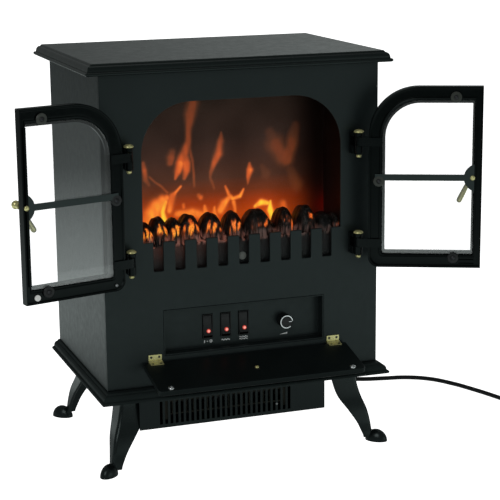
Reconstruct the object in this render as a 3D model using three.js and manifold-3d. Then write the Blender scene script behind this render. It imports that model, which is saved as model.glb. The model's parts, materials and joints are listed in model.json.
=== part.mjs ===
// Stove-style electric fireplace: a sheet-metal cabinet on four legs, with two glazed doors,
// a drop-down control flap, a flame-effect firebox and a fan heater under the base.
// Millimetres, +Z up. The cabinet's front faces -Y, and +X is to the right seen from the front.
import * as THREE from 'three';
import { mergeVertices } from 'three/addons/utils/BufferGeometryUtils.js';
import Module from 'manifold-3d';

const wasm = await Module();
wasm.setup();

// ---- Driving dimensions ---------------------------------------------------------------------
const GAP = 0.3; // left between pieces that touch
const BODY = { width: 383, depth: 272, sheet: 1.4, front: 4, backSheet: 1.2 };
const TOP_BOARD = { top: 544.5, thickness: 15, side: 18.5, front: 9.5, back: 20 };
const BASE_BOARD = { top: 115.7, thickness: 14.2, side: 12.3, front: 19.6, back: 0 };
const ARCH = { halfWidth: 138, top: 491, radius: 67 };
const FRET = { top: 310, bottom: 271, slots: 9, pitch: 29.5, slotWidth: 13.5 };
const RECESS = { halfWidth: 113.5, bottom: 156, top: 218, depth: 16, wall: 1.5 };
const SWITCHES = {
  count: 3, firstX: -47.6, pitch: 25.4, z: 186, width: 12.4, height: 31, margin: 2.8, depth: 16,
};
const ROCKER = { pivotBehindPlate: 6, restTilt: 8 };
const KNOB = { x: 60.4, z: 184.2, radius: 9.5, length: 11.5 };
const DOOR = {
  axisY: -152.4, hingeEdge: 13.2, bottom: 258, top: 501.7,
  inner: 8.6, outer: -6.4, archRadius: 66, cornerRadius: 14,
  hingeStile: 22, topRail: 22.4, bottomRail: 23.3,
};
// The right door carries the wide meeting stile, so the doors meet a little left of the middle.
const DOOR_SIDES = {
  left: { sign: -1, axisX: 159.1, meetEdge: 153.4, meetStile: 8.3, open: 165.5 },
  right: { sign: 1, axisX: 156.8, meetEdge: 162.7, meetStile: 13.3, open: 155.1 },
};
const MUNTIN = { z: 380.7, height: 8.4, sheet: 1.2, discRadius: 17.4, discCentre: 158.4 };
const HANDLE = { pivot: 150.2, z: 380.7, bore: 2.7, lever: 36, lean: 25.8, leverY: -9.6, ball: 5.5 };
const HINGE = { pinTops: { upper: 441.5, lower: 305 }, pinRadius: 2.6, barrel: 5.5 };
const FLAP = {
  axisY: -138.8, axisZ: 150.1, droop: 13.3, halfWidth: 143.5, start: 2.6, length: 76,
  thickness: 9.4, cornerRadius: 6, bevel: 4, hingeX: 126.3, knobAt: 43.1,
};
const APRON = { left: -147, boxLeft: -130, right: 118, front: -128, back: -50, bottom: 54, sheet: 1.5 };
const GRILLE = { left: -119, pitch: 7.3, slots: 26, slotWidth: 4, bottom: 59, top: 91 };
const INTAKE = { count: 3, lowest: 64, pitch: 11, height: 5 };
const ELEMENT = { front: -118, back: -108, low: 68, high: 88, rail: 2, end: 8, finPitch: 10, finSheet: 1.2 };
const BLOWER = { y: -85, z: 78, radius: 18, left: -113, right: 64.5, blades: 10 };
const FIREBOX = { halfWidth: 144, bottom: 261, top: 498, sheet: 1, back: 20 };
const CORD = { diameter: 6.5, sides: 8 };
const OUTLET = { x: 130, z: 132, reliefLength: 32 };
const PLUG = { radius: 18.5, back: -40 };
const COIL = { x: 484, y: -126, inner: 26.5, outer: 46.5, height: 13.6 };

const FRONT = -BODY.depth / 2;
const BACK = BODY.depth / 2;
const SIDE = BODY.width / 2;
const BODY_BOTTOM = BASE_BOARD.top + GAP;
const BODY_TOP = TOP_BOARD.top - TOP_BOARD.thickness - GAP;
const PLATE_Y = FRONT + RECESS.depth; // front face of the plate that carries the controls
const degrees = Math.PI / 180;

// ---- Materials ------------------------------------------------------------------------------
const finish = (color, roughness, metalness) =>
  new THREE.MeshStandardMaterial({ color, roughness, metalness });
const satinBlack = finish(0x262c2d, 0.5, 0.4);
const glossBlack = finish(0x14181a, 0.3, 0.4);
const castBlack = finish(0x1f2527, 0.4, 0.5);
const blackPlastic = finish(0x121415, 0.45, 0);
const brass = finish(0xc9b26a, 0.3, 1);
const steel = finish(0x9a9d9e, 0.45, 0.9);
const clearGlass = finish(0xdfe8e6, 0.05, 0);
const smokedScreen = finish(0x4a3a30, 0.4, 0);
const coalFinish = finish(0x2b2320, 0.9, 0);
const lampGlass = finish(0xf6e2b8, 0.3, 0);
const heaterCeramic = finish(0x8d8a7c, 0.6, 0.3);
const rubberBlack = finish(0x0c0c0d, 0.7, 0);

// ---- Solid helpers --------------------------------------------------------------------------
function toSolid(geometry) {
  const bare = geometry.clone();
  bare.deleteAttribute('normal');
  bare.deleteAttribute('uv');
  const merged = mergeVertices(bare, 1e-4);
  return new wasm.Manifold(new wasm.Mesh({
    numProp: 3,
    vertProperties: new Float32Array(merged.attributes.position.array),
    triVerts: new Uint32Array(merged.index.array),
  }));
}

function toGeometry(solid) {
  const mesh = solid.getMesh();
  const geometry = new THREE.BufferGeometry();
  geometry.setAttribute('position', new THREE.BufferAttribute(mesh.vertProperties, 3));
  geometry.setIndex(new THREE.BufferAttribute(mesh.triVerts, 1));
  geometry.computeVertexNormals();
  return geometry;
}

const join = (first, ...rest) =>
  toGeometry(rest.reduce((solid, piece) => solid.add(toSolid(piece)), toSolid(first)));
const cut = (first, ...tools) =>
  toGeometry(tools.reduce((solid, tool) => solid.subtract(toSolid(tool)), toSolid(first)));

function box(x0, x1, y0, y1, z0, z1) {
  const geometry = new THREE.BoxGeometry(x1 - x0, y1 - y0, z1 - z0);
  return geometry.translate((x0 + x1) / 2, (y0 + y1) / 2, (z0 + z1) / 2);
}

// A closed surface from its vertices and triangles, turned so that its faces point out.
function closedSurface(vertices, triangles) {
  const corner = triangles.map(([a, b, c]) => [vertices[a], vertices[b], vertices[c]]);
  const volume = corner.reduce((sum, [a, b, c]) => sum + a.dot(b.clone().cross(c)), 0);
  const index = triangles.flatMap(([a, b, c]) => (volume > 0 ? [a, b, c] : [a, c, b]));
  const geometry = new THREE.BufferGeometry().setFromPoints(vertices);
  geometry.setIndex(index);
  geometry.computeVertexNormals();
  return geometry;
}

// The triangles between one outline of a loft and the next.
function skin(from, to, count) {
  const triangles = [];
  for (let i = 0; i < count; i += 1) {
    const next = (i + 1) % count;
    triangles.push([from + i, from + next, to + next], [from + i, to + next, to + i]);
  }
  return triangles;
}

// A solid through a row of outlines with equally many points. flatten gives an end's 2-D points.
function loft(outlines, flatten) {
  const count = outlines[0].length;
  const triangles = [];
  for (let k = 0; k + 1 < outlines.length; k += 1) {
    triangles.push(...skin(k * count, (k + 1) * count, count));
  }
  const last = (outlines.length - 1) * count;
  const endFaces = (outline) => {
    const points = outline.map(flatten);
    const faces = THREE.ShapeUtils.triangulateShape(points, []);
    return THREE.ShapeUtils.isClockWise(points) ? faces.map(([a, b, c]) => [a, c, b]) : faces;
  };
  endFaces(outlines[0]).forEach(([a, b, c]) => triangles.push([a, c, b]));
  endFaces(outlines.at(-1)).forEach(([a, b, c]) => triangles.push([last + a, last + b, last + c]));
  return closedSurface(outlines.flat(), triangles);
}

// A picture-frame shape: the outlines are the corners of its section, taken all the way round.
function ringLoft(outlines) {
  const count = outlines[0].length;
  const triangles = [];
  outlines.forEach((_, k) => {
    triangles.push(...skin(k * count, ((k + 1) % outlines.length) * count, count));
  });
  return closedSurface(outlines.flat(), triangles);
}

const flattenXY = (point) => new THREE.Vector2(point.x, point.y);
const flattenXZ = (point) => new THREE.Vector2(point.x, point.z);

function polygon(points) {
  return new THREE.Shape(points.map(([a, b]) => new THREE.Vector2(a, b)));
}

function rectangle(a0, a1, b0, b1) {
  return polygon([[a0, b0], [a1, b0], [a1, b1], [a0, b1]]);
}

function extrude(shape, depth, curveSegments = 8) {
  return new THREE.ExtrudeGeometry(shape, { depth, bevelEnabled: false, curveSegments });
}

// A shape drawn in x and z, given thickness from y0 to y1.
function plateXZ(shape, y0, y1, curveSegments) {
  return extrude(shape, y1 - y0, curveSegments).rotateX(Math.PI / 2).translate(0, y1, 0);
}

// A shape drawn in y and z, run along x from x0 to x1.
function runAlongX(shape, x0, x1, curveSegments) {
  const turn = new THREE.Matrix4().makeBasis(
    new THREE.Vector3(0, 1, 0), new THREE.Vector3(0, 0, 1), new THREE.Vector3(1, 0, 0));
  return extrude(shape, x1 - x0, curveSegments).applyMatrix4(turn).translate(x0, 0, 0);
}

function rodX(x0, x1, y, z, radius, sides = 16) {
  const rod = new THREE.CylinderGeometry(radius, radius, x1 - x0, sides);
  return rod.rotateZ(Math.PI / 2).translate((x0 + x1) / 2, y, z);
}

function rodY(y0, y1, x, z, radius, sides = 16) {
  return new THREE.CylinderGeometry(radius, radius, y1 - y0, sides).translate(x, (y0 + y1) / 2, z);
}

function rodZ(z0, z1, x, y, radius, sides = 16) {
  const rod = new THREE.CylinderGeometry(radius, radius, z1 - z0, sides);
  return rod.rotateX(Math.PI / 2).translate(x, y, (z0 + z1) / 2);
}

// A turned piece: radii along an axis that then points along +Y.
function turned(profile, sides = 20) {
  return new THREE.LatheGeometry(profile.map(([r, y]) => new THREE.Vector2(r, y)), sides);
}

function mirrored(geometry) {
  const copy = geometry.index ? geometry.toNonIndexed() : geometry.clone();
  const position = copy.attributes.position;
  const vertices = [];
  const triangles = [];
  for (let i = 0; i < position.count; i += 1) {
    vertices.push(new THREE.Vector3(-position.getX(i), position.getY(i), position.getZ(i)));
  }
  for (let i = 0; i < position.count; i += 3) triangles.push([i, i + 1, i + 2]);
  return closedSurface(vertices, triangles);
}

function addTo(parent, name, geometry, material) {
  const mesh = new THREE.Mesh(geometry, material);
  mesh.name = name;
  parent.add(mesh);
  return mesh;
}

const sides = [{ side: 'left', sign: -1 }, { side: 'right', sign: 1 }];

// ---- Top and base boards --------------------------------------------------------------------
// Each level of a moulded edge is [inset from the outermost edge, height above the underside].
const EDGE_MOULDING = [[2.4, 0], [0, 1.4], [0, 3.2], [1.6, 4.6], [2.6, 5], [3, 8], [5, 11], [8.4, 13]];

function mouldedBoard(board) {
  const scale = board.thickness / 15;
  const levels = [...EDGE_MOULDING, [10.5, 15]].map(([inset, height]) => {
    const x = SIDE + board.side - inset;
    const front = FRONT - board.front + inset;
    const back = BACK + board.back - (board.back > 0 ? inset : 0);
    const z = board.top - board.thickness + height * scale;
    return [[-x, front], [x, front], [x, back], [-x, back]].map(([px, py]) => new THREE.Vector3(px, py, z));
  });
  return loft(levels, flattenXY);
}

// ---- Cabinet panels -------------------------------------------------------------------------
// The arched fire opening, with the fret's slots running down from its lower edge.
function fireOpening() {
  const { halfWidth, top, radius } = ARCH;
  const opening = new THREE.Path();
  opening.moveTo(halfWidth, FRET.top);
  opening.lineTo(halfWidth, top - radius);
  opening.absarc(halfWidth - radius, top - radius, radius, 0, Math.PI / 2);
  opening.lineTo(-halfWidth + radius, top);
  opening.absarc(-halfWidth + radius, top - radius, radius, Math.PI / 2, Math.PI);
  opening.lineTo(-halfWidth, FRET.top);
  for (let i = 0; i < FRET.slots; i += 1) {
    const x = (i - (FRET.slots - 1) / 2) * FRET.pitch;
    opening.lineTo(x - FRET.slotWidth / 2, FRET.top);
    opening.lineTo(x - FRET.slotWidth / 2, FRET.bottom);
    opening.lineTo(x + FRET.slotWidth / 2, FRET.bottom);
    opening.lineTo(x + FRET.slotWidth / 2, FRET.top);
  }
  return opening;
}

function frontPanel() {
  const shape = rectangle(-SIDE, SIDE, BODY_BOTTOM, BODY_TOP);
  const { halfWidth, bottom, top } = RECESS;
  shape.holes.push(fireOpening(), rectangle(-halfWidth, halfWidth, bottom, top));
  return plateXZ(shape, FRONT, FRONT + BODY.front, 7);
}

// The back has two columns of cooling slots.
function backPanel() {
  const louvre = { columnX: 90, count: 8, pitch: 12, halfLength: 45, height: 5, lowest: 400 };
  const slots = [];
  for (const x of [-louvre.columnX, louvre.columnX]) {
    for (let i = 0; i < louvre.count; i += 1) {
      const z = louvre.lowest + i * louvre.pitch;
      slots.push(box(x - louvre.halfLength, x + louvre.halfLength, BACK - 5, BACK + 5, z, z + louvre.height));
    }
  }
  return cut(box(-SIDE, SIDE, BACK - BODY.backSheet, BACK, BODY_BOTTOM, BODY_TOP), ...slots);
}

function sidePanel(sign) {
  const outer = sign * SIDE;
  const inner = sign * (SIDE - BODY.sheet);
  const y0 = FRONT + BODY.front + GAP;
  const y1 = BACK - BODY.backSheet - GAP;
  return box(Math.min(outer, inner), Math.max(outer, inner), y0, y1, BODY_BOTTOM, BODY_TOP);
}

function addCabinet(parent) {
  addTo(parent, 'top_board', mouldedBoard(TOP_BOARD), glossBlack);
  addTo(parent, 'base_board', mouldedBoard(BASE_BOARD), glossBlack);
  addTo(parent, 'front_panel', frontPanel(), satinBlack);
  addTo(parent, 'back_panel', backPanel(), satinBlack);
  for (const { side, sign } of sides) addTo(parent, `${side}_side_panel`, sidePanel(sign), satinBlack);
}

// ---- Legs -----------------------------------------------------------------------------------
// The leg is an angle casting. Each level is [height, corner x, corner y, wing width].
const LEG_LEVELS = [
  [9, 189, 136, 15], [14, 188, 135, 16], [28, 186, 133.5, 20.5], [45, 182.5, 130, 28],
  [65, 175.5, 123, 34.5], [85, 171, 118.5, 36.5], [101.2, 169.5, 116.5, 37],
];
const LEG = {
  wall: 4.5, cornerRadius: 5, footX: 193, footY: 135.8, footLong: 16, footWide: 10.5, footHigh: 16,
  flange: 33, flangeThickness: 3, rearInset: 7.6,
};

// The angle section, its corner pointing to +x and -y.
function legSection([z, x, y, wing]) {
  const { wall, cornerRadius: r } = LEG;
  const points = [[-wing, 0]];
  for (let i = 0; i <= 3; i += 1) {
    const a = (i / 3) * 90 * degrees;
    points.push([-r + r * Math.sin(a), r - r * Math.cos(a)]);
  }
  points.push([0, wing], [-wall, wing], [-wall, wall], [-wing, wall]);
  return points.map(([dx, dy]) => new THREE.Vector3(x + dx, -y + dy, z));
}

function frontRightLeg() {
  const angle = loft(LEG_LEVELS.map(legSection), flattenXY);
  const [topZ, cornerX, cornerY] = LEG_LEVELS.at(-1);
  const [x1, y0] = [cornerX - 1, -cornerY + 1];
  const flange = box(x1 - LEG.flange, x1, y0, y0 + LEG.flange, topZ - LEG.flangeThickness, topZ);
  const foot = new THREE.SphereGeometry(1, 14, 8);
  foot.scale(LEG.footLong, LEG.footWide, LEG.footHigh).rotateZ(-45 * degrees);
  foot.translate(LEG.footX, -LEG.footY, 0);
  const belowFloor = box(150, 240, -190, -90, -40, 0);
  return cut(join(angle, flange, foot), belowFloor);
}

function addLegs(parent) {
  const frontRight = frontRightLeg();
  const frontLeft = mirrored(frontRight);
  const corners = [
    ['front_right_leg', frontRight, 0], ['front_left_leg', frontLeft, 0],
    ['back_left_leg', frontRight, 180], ['back_right_leg', frontLeft, 180],
  ];
  for (const [name, geometry, turn] of corners) {
    const leg = addTo(parent, name, geometry, castBlack);
    leg.rotation.z = turn * degrees;
    leg.position.y = turn ? -LEG.rearInset : 0;
  }
}

// ---- Controls -------------------------------------------------------------------------------
function controlTray() {
  const { halfWidth, bottom, top, wall } = RECESS;
  const edge = halfWidth - GAP;
  const back = PLATE_Y + wall;
  const tub = box(-edge, edge, FRONT + 0.2, back, bottom + GAP, top - GAP);
  const behind = FRONT + BODY.front + GAP;
  const flange = box(-edge - 7, edge + 7, behind, behind + wall, bottom - 6, top + 6);
  const hollow = box(-edge + wall, edge - wall, FRONT - 5, PLATE_Y, bottom + GAP + wall, top - GAP - wall);
  const windows = switchCentres().map((x) => switchBlock(x, 1.2, PLATE_Y - 1, back + 1));
  return cut(join(tub, flange), hollow, ...windows, rodY(PLATE_Y - 1, back + 1, KNOB.x, KNOB.z, 4.6));
}

function switchCentres() {
  return Array.from({ length: SWITCHES.count }, (_, i) => SWITCHES.firstX + i * SWITCHES.pitch);
}

function switchBlock(x, margin, y0, y1) {
  const halfWidth = SWITCHES.width / 2 + margin;
  const halfHeight = SWITCHES.height / 2 + margin;
  return box(x - halfWidth, x + halfWidth, y0, y1, SWITCHES.z - halfHeight, SWITCHES.z + halfHeight);
}

function switchBank() {
  const [first, last] = [switchCentres()[0], switchCentres().at(-1)];
  const back = PLATE_Y + RECESS.wall + GAP;
  const halfWidth = SWITCHES.width / 2 + SWITCHES.margin;
  const halfHeight = SWITCHES.height / 2 + SWITCHES.margin;
  const [low, high] = [SWITCHES.z - halfHeight, SWITCHES.z + halfHeight];
  const body = box(first - halfWidth, last + halfWidth, back, back + SWITCHES.depth, low, high);
  const necks = switchCentres().map((x) => switchBlock(x, 0.9, PLATE_Y - 2, back + 1));
  const pockets = switchCentres().map((x) => switchBlock(x, 0, PLATE_Y - 3, back + 13));
  return cut(join(body, ...necks), ...pockets);
}

// The rocker's profile about its pivot: a shallow V in front, its ends on one circle.
function rocker() {
  const profile = polygon([
    [-8.2, 12.8], [-6.6, 0], [-8.2, -12.8], [-2, -15], [3, -14.5], [3, 14.5], [-2, 15],
  ]);
  const half = SWITCHES.width / 2 - GAP;
  return runAlongX(profile, -half, half);
}

function dimmerBody() {
  const back = PLATE_Y + RECESS.wall + GAP;
  const can = rodY(back, back + 14, KNOB.x, KNOB.z, 10, 20);
  const bush = rodY(PLATE_Y - 1.6, back + 1, KNOB.x, KNOB.z, 4.2, 16);
  return cut(join(can, bush), rodY(PLATE_Y - 3, back + 9, KNOB.x, KNOB.z, 3.2, 16));
}

// The dial and its shaft, turned about an axis along Y.
function dimmerKnob() {
  const near = PLATE_Y - 2.2;
  const far = near - KNOB.length;
  const shaftEnd = PLATE_Y + 8;
  const profile = [
    [0, far], [KNOB.radius - 2, far], [KNOB.radius - 0.8, far + 0.8], [KNOB.radius, near],
    [2.9, near], [2.9, shaftEnd], [0, shaftEnd],
  ];
  return turned(profile, 24);
}

function addControls(parent) {
  addTo(parent, 'control_tray', controlTray(), satinBlack);
  addTo(parent, 'switch_bank', switchBank(), blackPlastic);
  addTo(parent, 'dimmer_body', dimmerBody(), steel);
  const knob = addTo(parent, 'dimmer_knob', dimmerKnob(), blackPlastic);
  knob.position.set(KNOB.x, 0, KNOB.z);
  switchCentres().forEach((x, i) => {
    const paddle = addTo(parent, `rocker_${i + 1}`, rocker(), blackPlastic);
    paddle.position.set(x, PLATE_Y + ROCKER.pivotBehindPlate, SWITCHES.z);
    paddle.rotation.x = -ROCKER.restTilt * degrees;
  });
}

// ---- Fan heater under the base --------------------------------------------------------------
// A sheet box hung under the base, its face carried on past its left side as a cover.
function outletApron() {
  const { left, boxLeft, right, front, back, bottom, sheet } = APRON;
  const top = BASE_BOARD.top - BASE_BOARD.thickness - GAP;
  const shell = box(boxLeft, right, front, back, bottom, top);
  const cover = box(left, boxLeft + 1, front, front + sheet, bottom, top);
  const hollow = box(boxLeft + sheet, right - sheet, front + sheet, back - sheet, bottom + sheet, top + 5);
  const slots = [];
  for (let i = 0; i < GRILLE.slots; i += 1) {
    const x = GRILLE.left + i * GRILLE.pitch;
    slots.push(box(x, x + GRILLE.slotWidth, front - 1, front + sheet + 1, GRILLE.bottom, GRILLE.top));
  }
  const intakes = [];
  for (let i = 0; i < INTAKE.count; i += 1) {
    const z = INTAKE.lowest + i * INTAKE.pitch;
    intakes.push(box(BLOWER.left, BLOWER.right, back - sheet - 1, back + 1, z, z + INTAKE.height));
  }
  return cut(join(shell, cover), hollow, ...slots, ...intakes);
}

// A finned heating element between two end blocks.
function heatingElement() {
  const { left, right } = BLOWER;
  const { front, back, low, high, rail, end, finPitch, finSheet } = ELEMENT;
  const rails = [low, high - rail].map((z) => box(left, right, front, back, z, z + rail));
  const ends = [left, right - end].map((x) => box(x, x + end, front - 1, back + 1, low - 6, high + 6));
  const fins = [];
  for (let x = left + end + 6; x < right - end - 2; x += finPitch) {
    fins.push(box(x, x + finSheet, front + 0.5, back - 0.5, low + 1, high - 1));
  }
  return join(...rails, ...ends, ...fins);
}

function arcWall(radius, wall, from, to, steps = 8) {
  const point = (r, i) => {
    const a = (from + ((to - from) * i) / steps) * degrees;
    return [BLOWER.y + r * Math.cos(a), BLOWER.z + r * Math.sin(a)];
  };
  const row = Array.from({ length: steps + 1 }, (_, i) => i);
  return polygon([...row.map((i) => point(radius, i)), ...row.reverse().map((i) => point(radius + wall, i))]);
}

// The scroll: a lower and an upper curved wall between two end plates.
function blowerHousing() {
  const { left, right, radius, y, z } = BLOWER;
  const x0 = left - 3;
  const x1 = right + 3;
  const lower = runAlongX(arcWall(radius + 1.5, 1.2, 190, 320), x0 + 1, x1 - 1);
  const upper = runAlongX(arcWall(radius + 1.5, 1.2, 60, 165), x0 + 1, x1 - 1);
  const plates = [x0, x1 - 1.5].map((x) => box(x, x + 1.5, y - 21, y + 19, 57, 100));
  const bearings = rodX(x0 - 1, x1 + 1, y, z, 2.7, 12);
  return cut(join(plates[0], plates[1], lower, upper), bearings);
}

function blowerRotor() {
  const { left, right, radius, y, z, blades } = BLOWER;
  const middle = (left + right) / 2;
  const discs = [left, middle, right - 1.5].map((x) => rodX(x, x + 1.5, y, z, radius, 16));
  const shaft = rodX(left - 3.2, right + 3.2, y, z, 2.3, 12);
  const vanes = [];
  for (let i = 0; i < blades; i += 1) {
    const a = (i / blades) * 360 * degrees;
    const vane = box(left, right, -0.5, 0.5, radius - 6, radius - 0.2).rotateX(a + 0.2);
    vanes.push(vane.translate(0, y, z));
  }
  return join(shaft, ...discs, ...vanes);
}

function addHeater(parent) {
  const { right, y, z } = BLOWER;
  addTo(parent, 'outlet_apron', outletApron(), satinBlack);
  addTo(parent, 'heating_element', heatingElement(), heaterCeramic);
  addTo(parent, 'blower_housing', blowerHousing(), steel);
  addTo(parent, 'blower_rotor', blowerRotor(), steel);
  addTo(parent, 'blower_motor', rodX(right + 3.5, right + 38, y, z, 17, 20), steel);
}

// ---- Firebox and flame effect ---------------------------------------------------------------
const SCREEN = { y: -62, thickness: 2 };
const SPINDLE = { y: -35, z: 300, radius: 21, left: -120, right: 112 };
const LAMP = { y: -96, z: 284, radius: 16, socket: 14, socketFrom: -62, from: -34, length: 72 };

function fireboxShell() {
  const { halfWidth, bottom, top, sheet, back } = FIREBOX;
  const front = FRONT + BODY.front + GAP + 2.5 + GAP;
  const outer = box(-halfWidth, halfWidth, front, back, bottom, top);
  const inner = box(-halfWidth + sheet, halfWidth - sheet, front - 1, back + 1, bottom + sheet, top - sheet);
  return cut(outer, inner, rodX(-halfWidth - 1, -halfWidth + 3, SPINDLE.y, SPINDLE.z, 2.8, 12));
}

// Height of the moulded coals above their tray, at a place across and along the bed.
function coalHeight(x, along) {
  const lumps = Math.abs(Math.cos((x / 31) * Math.PI)) ** 0.6;
  const slope = Math.sin(Math.PI * (0.2 + 0.75 * along));
  return 5 + (12 + 9 * lumps) * slope;
}

// The ember bed is a thin moulding: a skirt behind the fret, then coals back to the screen.
function emberBed() {
  const across = 32;
  const halfWidth = FIREBOX.halfWidth - FIREBOX.sheet - 0.8;
  const front = FRONT + BODY.front + 2.5 + 1.5;
  const back = SCREEN.y - SCREEN.thickness - 1;
  const rows = [0, 0.25, 0.5, 0.75, 1];
  const outlines = [];
  for (let i = 0; i <= across; i += 1) {
    const x = -halfWidth + (2 * halfWidth * i) / across;
    const top = rows.map((t) => [front + 3 + (back - front - 3) * t, 310 + coalHeight(x, t)]);
    const upper = [[front, 265], [front, 307], ...top];
    const lower = upper.map(([y, z], k) => (k < 2 ? [y + 2.5, z - 2 * k] : [y, z - 3])).reverse();
    outlines.push([...upper, ...lower].map(([y, z]) => new THREE.Vector3(x, y, z)));
  }
  return loft(outlines, (point) => new THREE.Vector2(point.y, point.z));
}

// A rod with four reflector vanes, which throws the moving light.
function flameSpindle() {
  const { y, z, radius, left, right } = SPINDLE;
  const shaft = rodX(-FIREBOX.halfWidth - 0.5, right + 3, y, z, 2.3, 12);
  const vanes = [0, 90].map((turn) => {
    const blade = box(left, right, -0.5, 0.5, -radius, radius).rotateX(turn * degrees);
    return blade.translate(0, y, z);
  });
  return join(shaft, ...vanes);
}

// The holder stands on the firebox floor, and its socket faces +x.
function lampHolder() {
  const { y, z, socket, socketFrom, from } = LAMP;
  const barrel = rodX(socketFrom, from, y, z, socket, 20);
  const post = box(socketFrom + 4, from - 6, y - 12, y + 12, FIREBOX.bottom + FIREBOX.sheet + GAP, z);
  return join(barrel, post);
}

function candleLamp() {
  const { radius, length } = LAMP;
  const profile = [
    [0, 0], [12, 0], [12, 8], [radius, 24], [radius, 38], [11, 56], [4, length - 4], [0, length],
  ];
  return turned(profile, 16).rotateZ(-Math.PI / 2);
}

function addFirebox(parent) {
  const { halfWidth, bottom, top, sheet } = FIREBOX;
  const behindFront = FRONT + BODY.front + GAP;
  const clear = halfWidth - sheet - 0.5;
  addTo(parent, 'firebox_shell', fireboxShell(), satinBlack);
  addTo(parent, 'front_screen', box(-148, 148, behindFront, behindFront + 2.5, 257, 500), clearGlass);
  const [low, high] = [bottom + sheet + 0.5, top - sheet - 0.5];
  const screen = box(-clear, clear, SCREEN.y - SCREEN.thickness, SCREEN.y, low, high);
  addTo(parent, 'flame_screen', screen, smokedScreen);
  addTo(parent, 'ember_bed', emberBed(), coalFinish);
  addTo(parent, 'flame_spindle', flameSpindle(), steel);
  addTo(parent, 'spindle_motor', rodX(SPINDLE.right + 4, clear, SPINDLE.y, SPINDLE.z, 20, 20), steel);
  addTo(parent, 'lamp_holder', lampHolder(), steel);
  addTo(parent, 'flame_lamp', candleLamp(), lampGlass).position.set(LAMP.from + GAP, LAMP.y, LAMP.z);
}

// ---- Doors ----------------------------------------------------------------------------------
// A door is drawn about its hinge axis: x runs from the axis to the meeting stile, +y is inward.
// share is 0 at the frame's outer edge and 1 at the edge of its opening.
function doorOutline(side, share, y) {
  const { meetEdge, meetStile } = DOOR_SIDES[side];
  const mix = THREE.MathUtils.lerp;
  const left = DOOR.hingeEdge + DOOR.hingeStile * share;
  const right = meetEdge - meetStile * share;
  const top = DOOR.top - DOOR.topRail * share;
  const bottom = DOOR.bottom + DOOR.bottomRail * share;
  const arch = mix(DOOR.archRadius, DOOR.archRadius - 20, share);
  const corner = mix(DOOR.cornerRadius, 1.5, share);
  const points = [[right, bottom], [right, top]];
  for (let i = 0; i <= 8; i += 1) {
    const a = (90 + (i / 8) * 90) * degrees;
    points.push([left + arch + arch * Math.cos(a), top - arch + arch * Math.sin(a)]);
  }
  for (let i = 0; i <= 3; i += 1) {
    const a = (180 + (i / 3) * 90) * degrees;
    points.push([left + corner + corner * Math.cos(a), bottom + corner + corner * Math.sin(a)]);
  }
  return points.map(([x, z]) => new THREE.Vector3(x, y, z));
}

const handleBore = () => rodY(-30, 30, HANDLE.pivot, HANDLE.z, HANDLE.bore, 12);

function doorFrame(side) {
  const { inner, outer } = DOOR;
  const section = [
    [0, inner], [0, outer + 3], [0.14, outer], [0.62, outer], [1, 1], [1, 5.2], [0.8, 5.2], [0.8, inner],
  ];
  return cut(ringLoft(section.map(([share, y]) => doorOutline(side, share, y))), handleBore());
}

function doorGlass(side) {
  const pane = loft([doorOutline(side, 0.84, 5.5), doorOutline(side, 0.84, 8.3)], flattenXZ);
  return cut(pane, handleBore());
}

// The cross bar, ending in a part-round plate that butts against the meeting stile.
function doorMuntin(side) {
  const { z, height, sheet, discRadius, discCentre } = MUNTIN;
  const { meetEdge, meetStile } = DOOR_SIDES[side];
  const near = DOOR.inner + GAP;
  const flatEdge = meetEdge - 0.8 * meetStile - GAP;
  const bar = box(22, discCentre, near, near + sheet, z - height / 2, z + height / 2);
  const disc = rodY(near, near + sheet, discCentre, z, discRadius, 28);
  const beyond = box(flatEdge, flatEdge + 40, 0, 30, z - 40, z + 40);
  return cut(join(bar, disc), beyond, handleBore());
}

// A spindle through the door, with a lever and a round knob outside.
function doorHandle() {
  const { pivot, z, lever, lean, leverY, ball } = HANDLE;
  const inside = DOOR.inner + GAP + MUNTIN.sheet + GAP;
  const spindle = rodY(-16, inside + 1, pivot, z, 2.3, 12);
  const head = rodY(inside, inside + 2.4, pivot, z, 3.4, 12);
  const hub = rodY(leverY - 3, DOOR.outer - GAP, pivot, z, 3, 12);
  const rod = new THREE.CylinderGeometry(2.2, 2.6, lever, 12);
  rod.translate(0, -lever / 2, 0).rotateX(Math.PI / 2).rotateY(lean * degrees).translate(pivot, leverY, z);
  const knob = new THREE.SphereGeometry(ball, 12, 8).rotateX(Math.PI / 2).translate(pivot, -15, z);
  return join(spindle, head, hub, rod, knob);
}

// The strap's knuckle turns on the pin, and its arm lies on the frame's inner face.
function hingeStrap(pinTop) {
  const near = DOOR.inner + GAP;
  const z0 = pinTop - 19.5;
  const z1 = pinTop - 8;
  const arm = polygon([
    [-2, 3], [3.6, 3], [7, near], [31, near], [31, near + 1.4], [5.6, near + 1.4], [-2, 5],
  ]);
  const strap = extrude(arm, z1 - z0).translate(0, 0, z0);
  const knuckle = rodZ(z0, z1, 0, 0, HINGE.barrel - 0.2);
  return cut(join(knuckle, strap), rodZ(z0 - 1, z1 + 1, 0, 0, HINGE.pinRadius + GAP));
}

// A bracket on the front panel whose two lugs hold the pin. x is measured from the hinge axis.
function hingeBracket(pinTop) {
  const plateBack = FRONT - GAP - DOOR.axisY;
  const plateFront = plateBack - 2.3;
  const plate = box(-8, 11, plateFront, plateBack, pinTop - 31.5, pinTop - 2.5);
  const lug = (z0, z1) => join(box(-5, 11, 3, plateFront + 1, z0, z1), rodZ(z0, z1, 0, 0, HINGE.barrel));
  const upper = lug(pinTop - 7.7, pinTop - 2.5);
  const lower = lug(pinTop - 31.5, pinTop - 19.8);
  return cut(join(plate, upper, lower), rodZ(pinTop - 40, pinTop + 5, 0, 0, HINGE.pinRadius + GAP));
}

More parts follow.
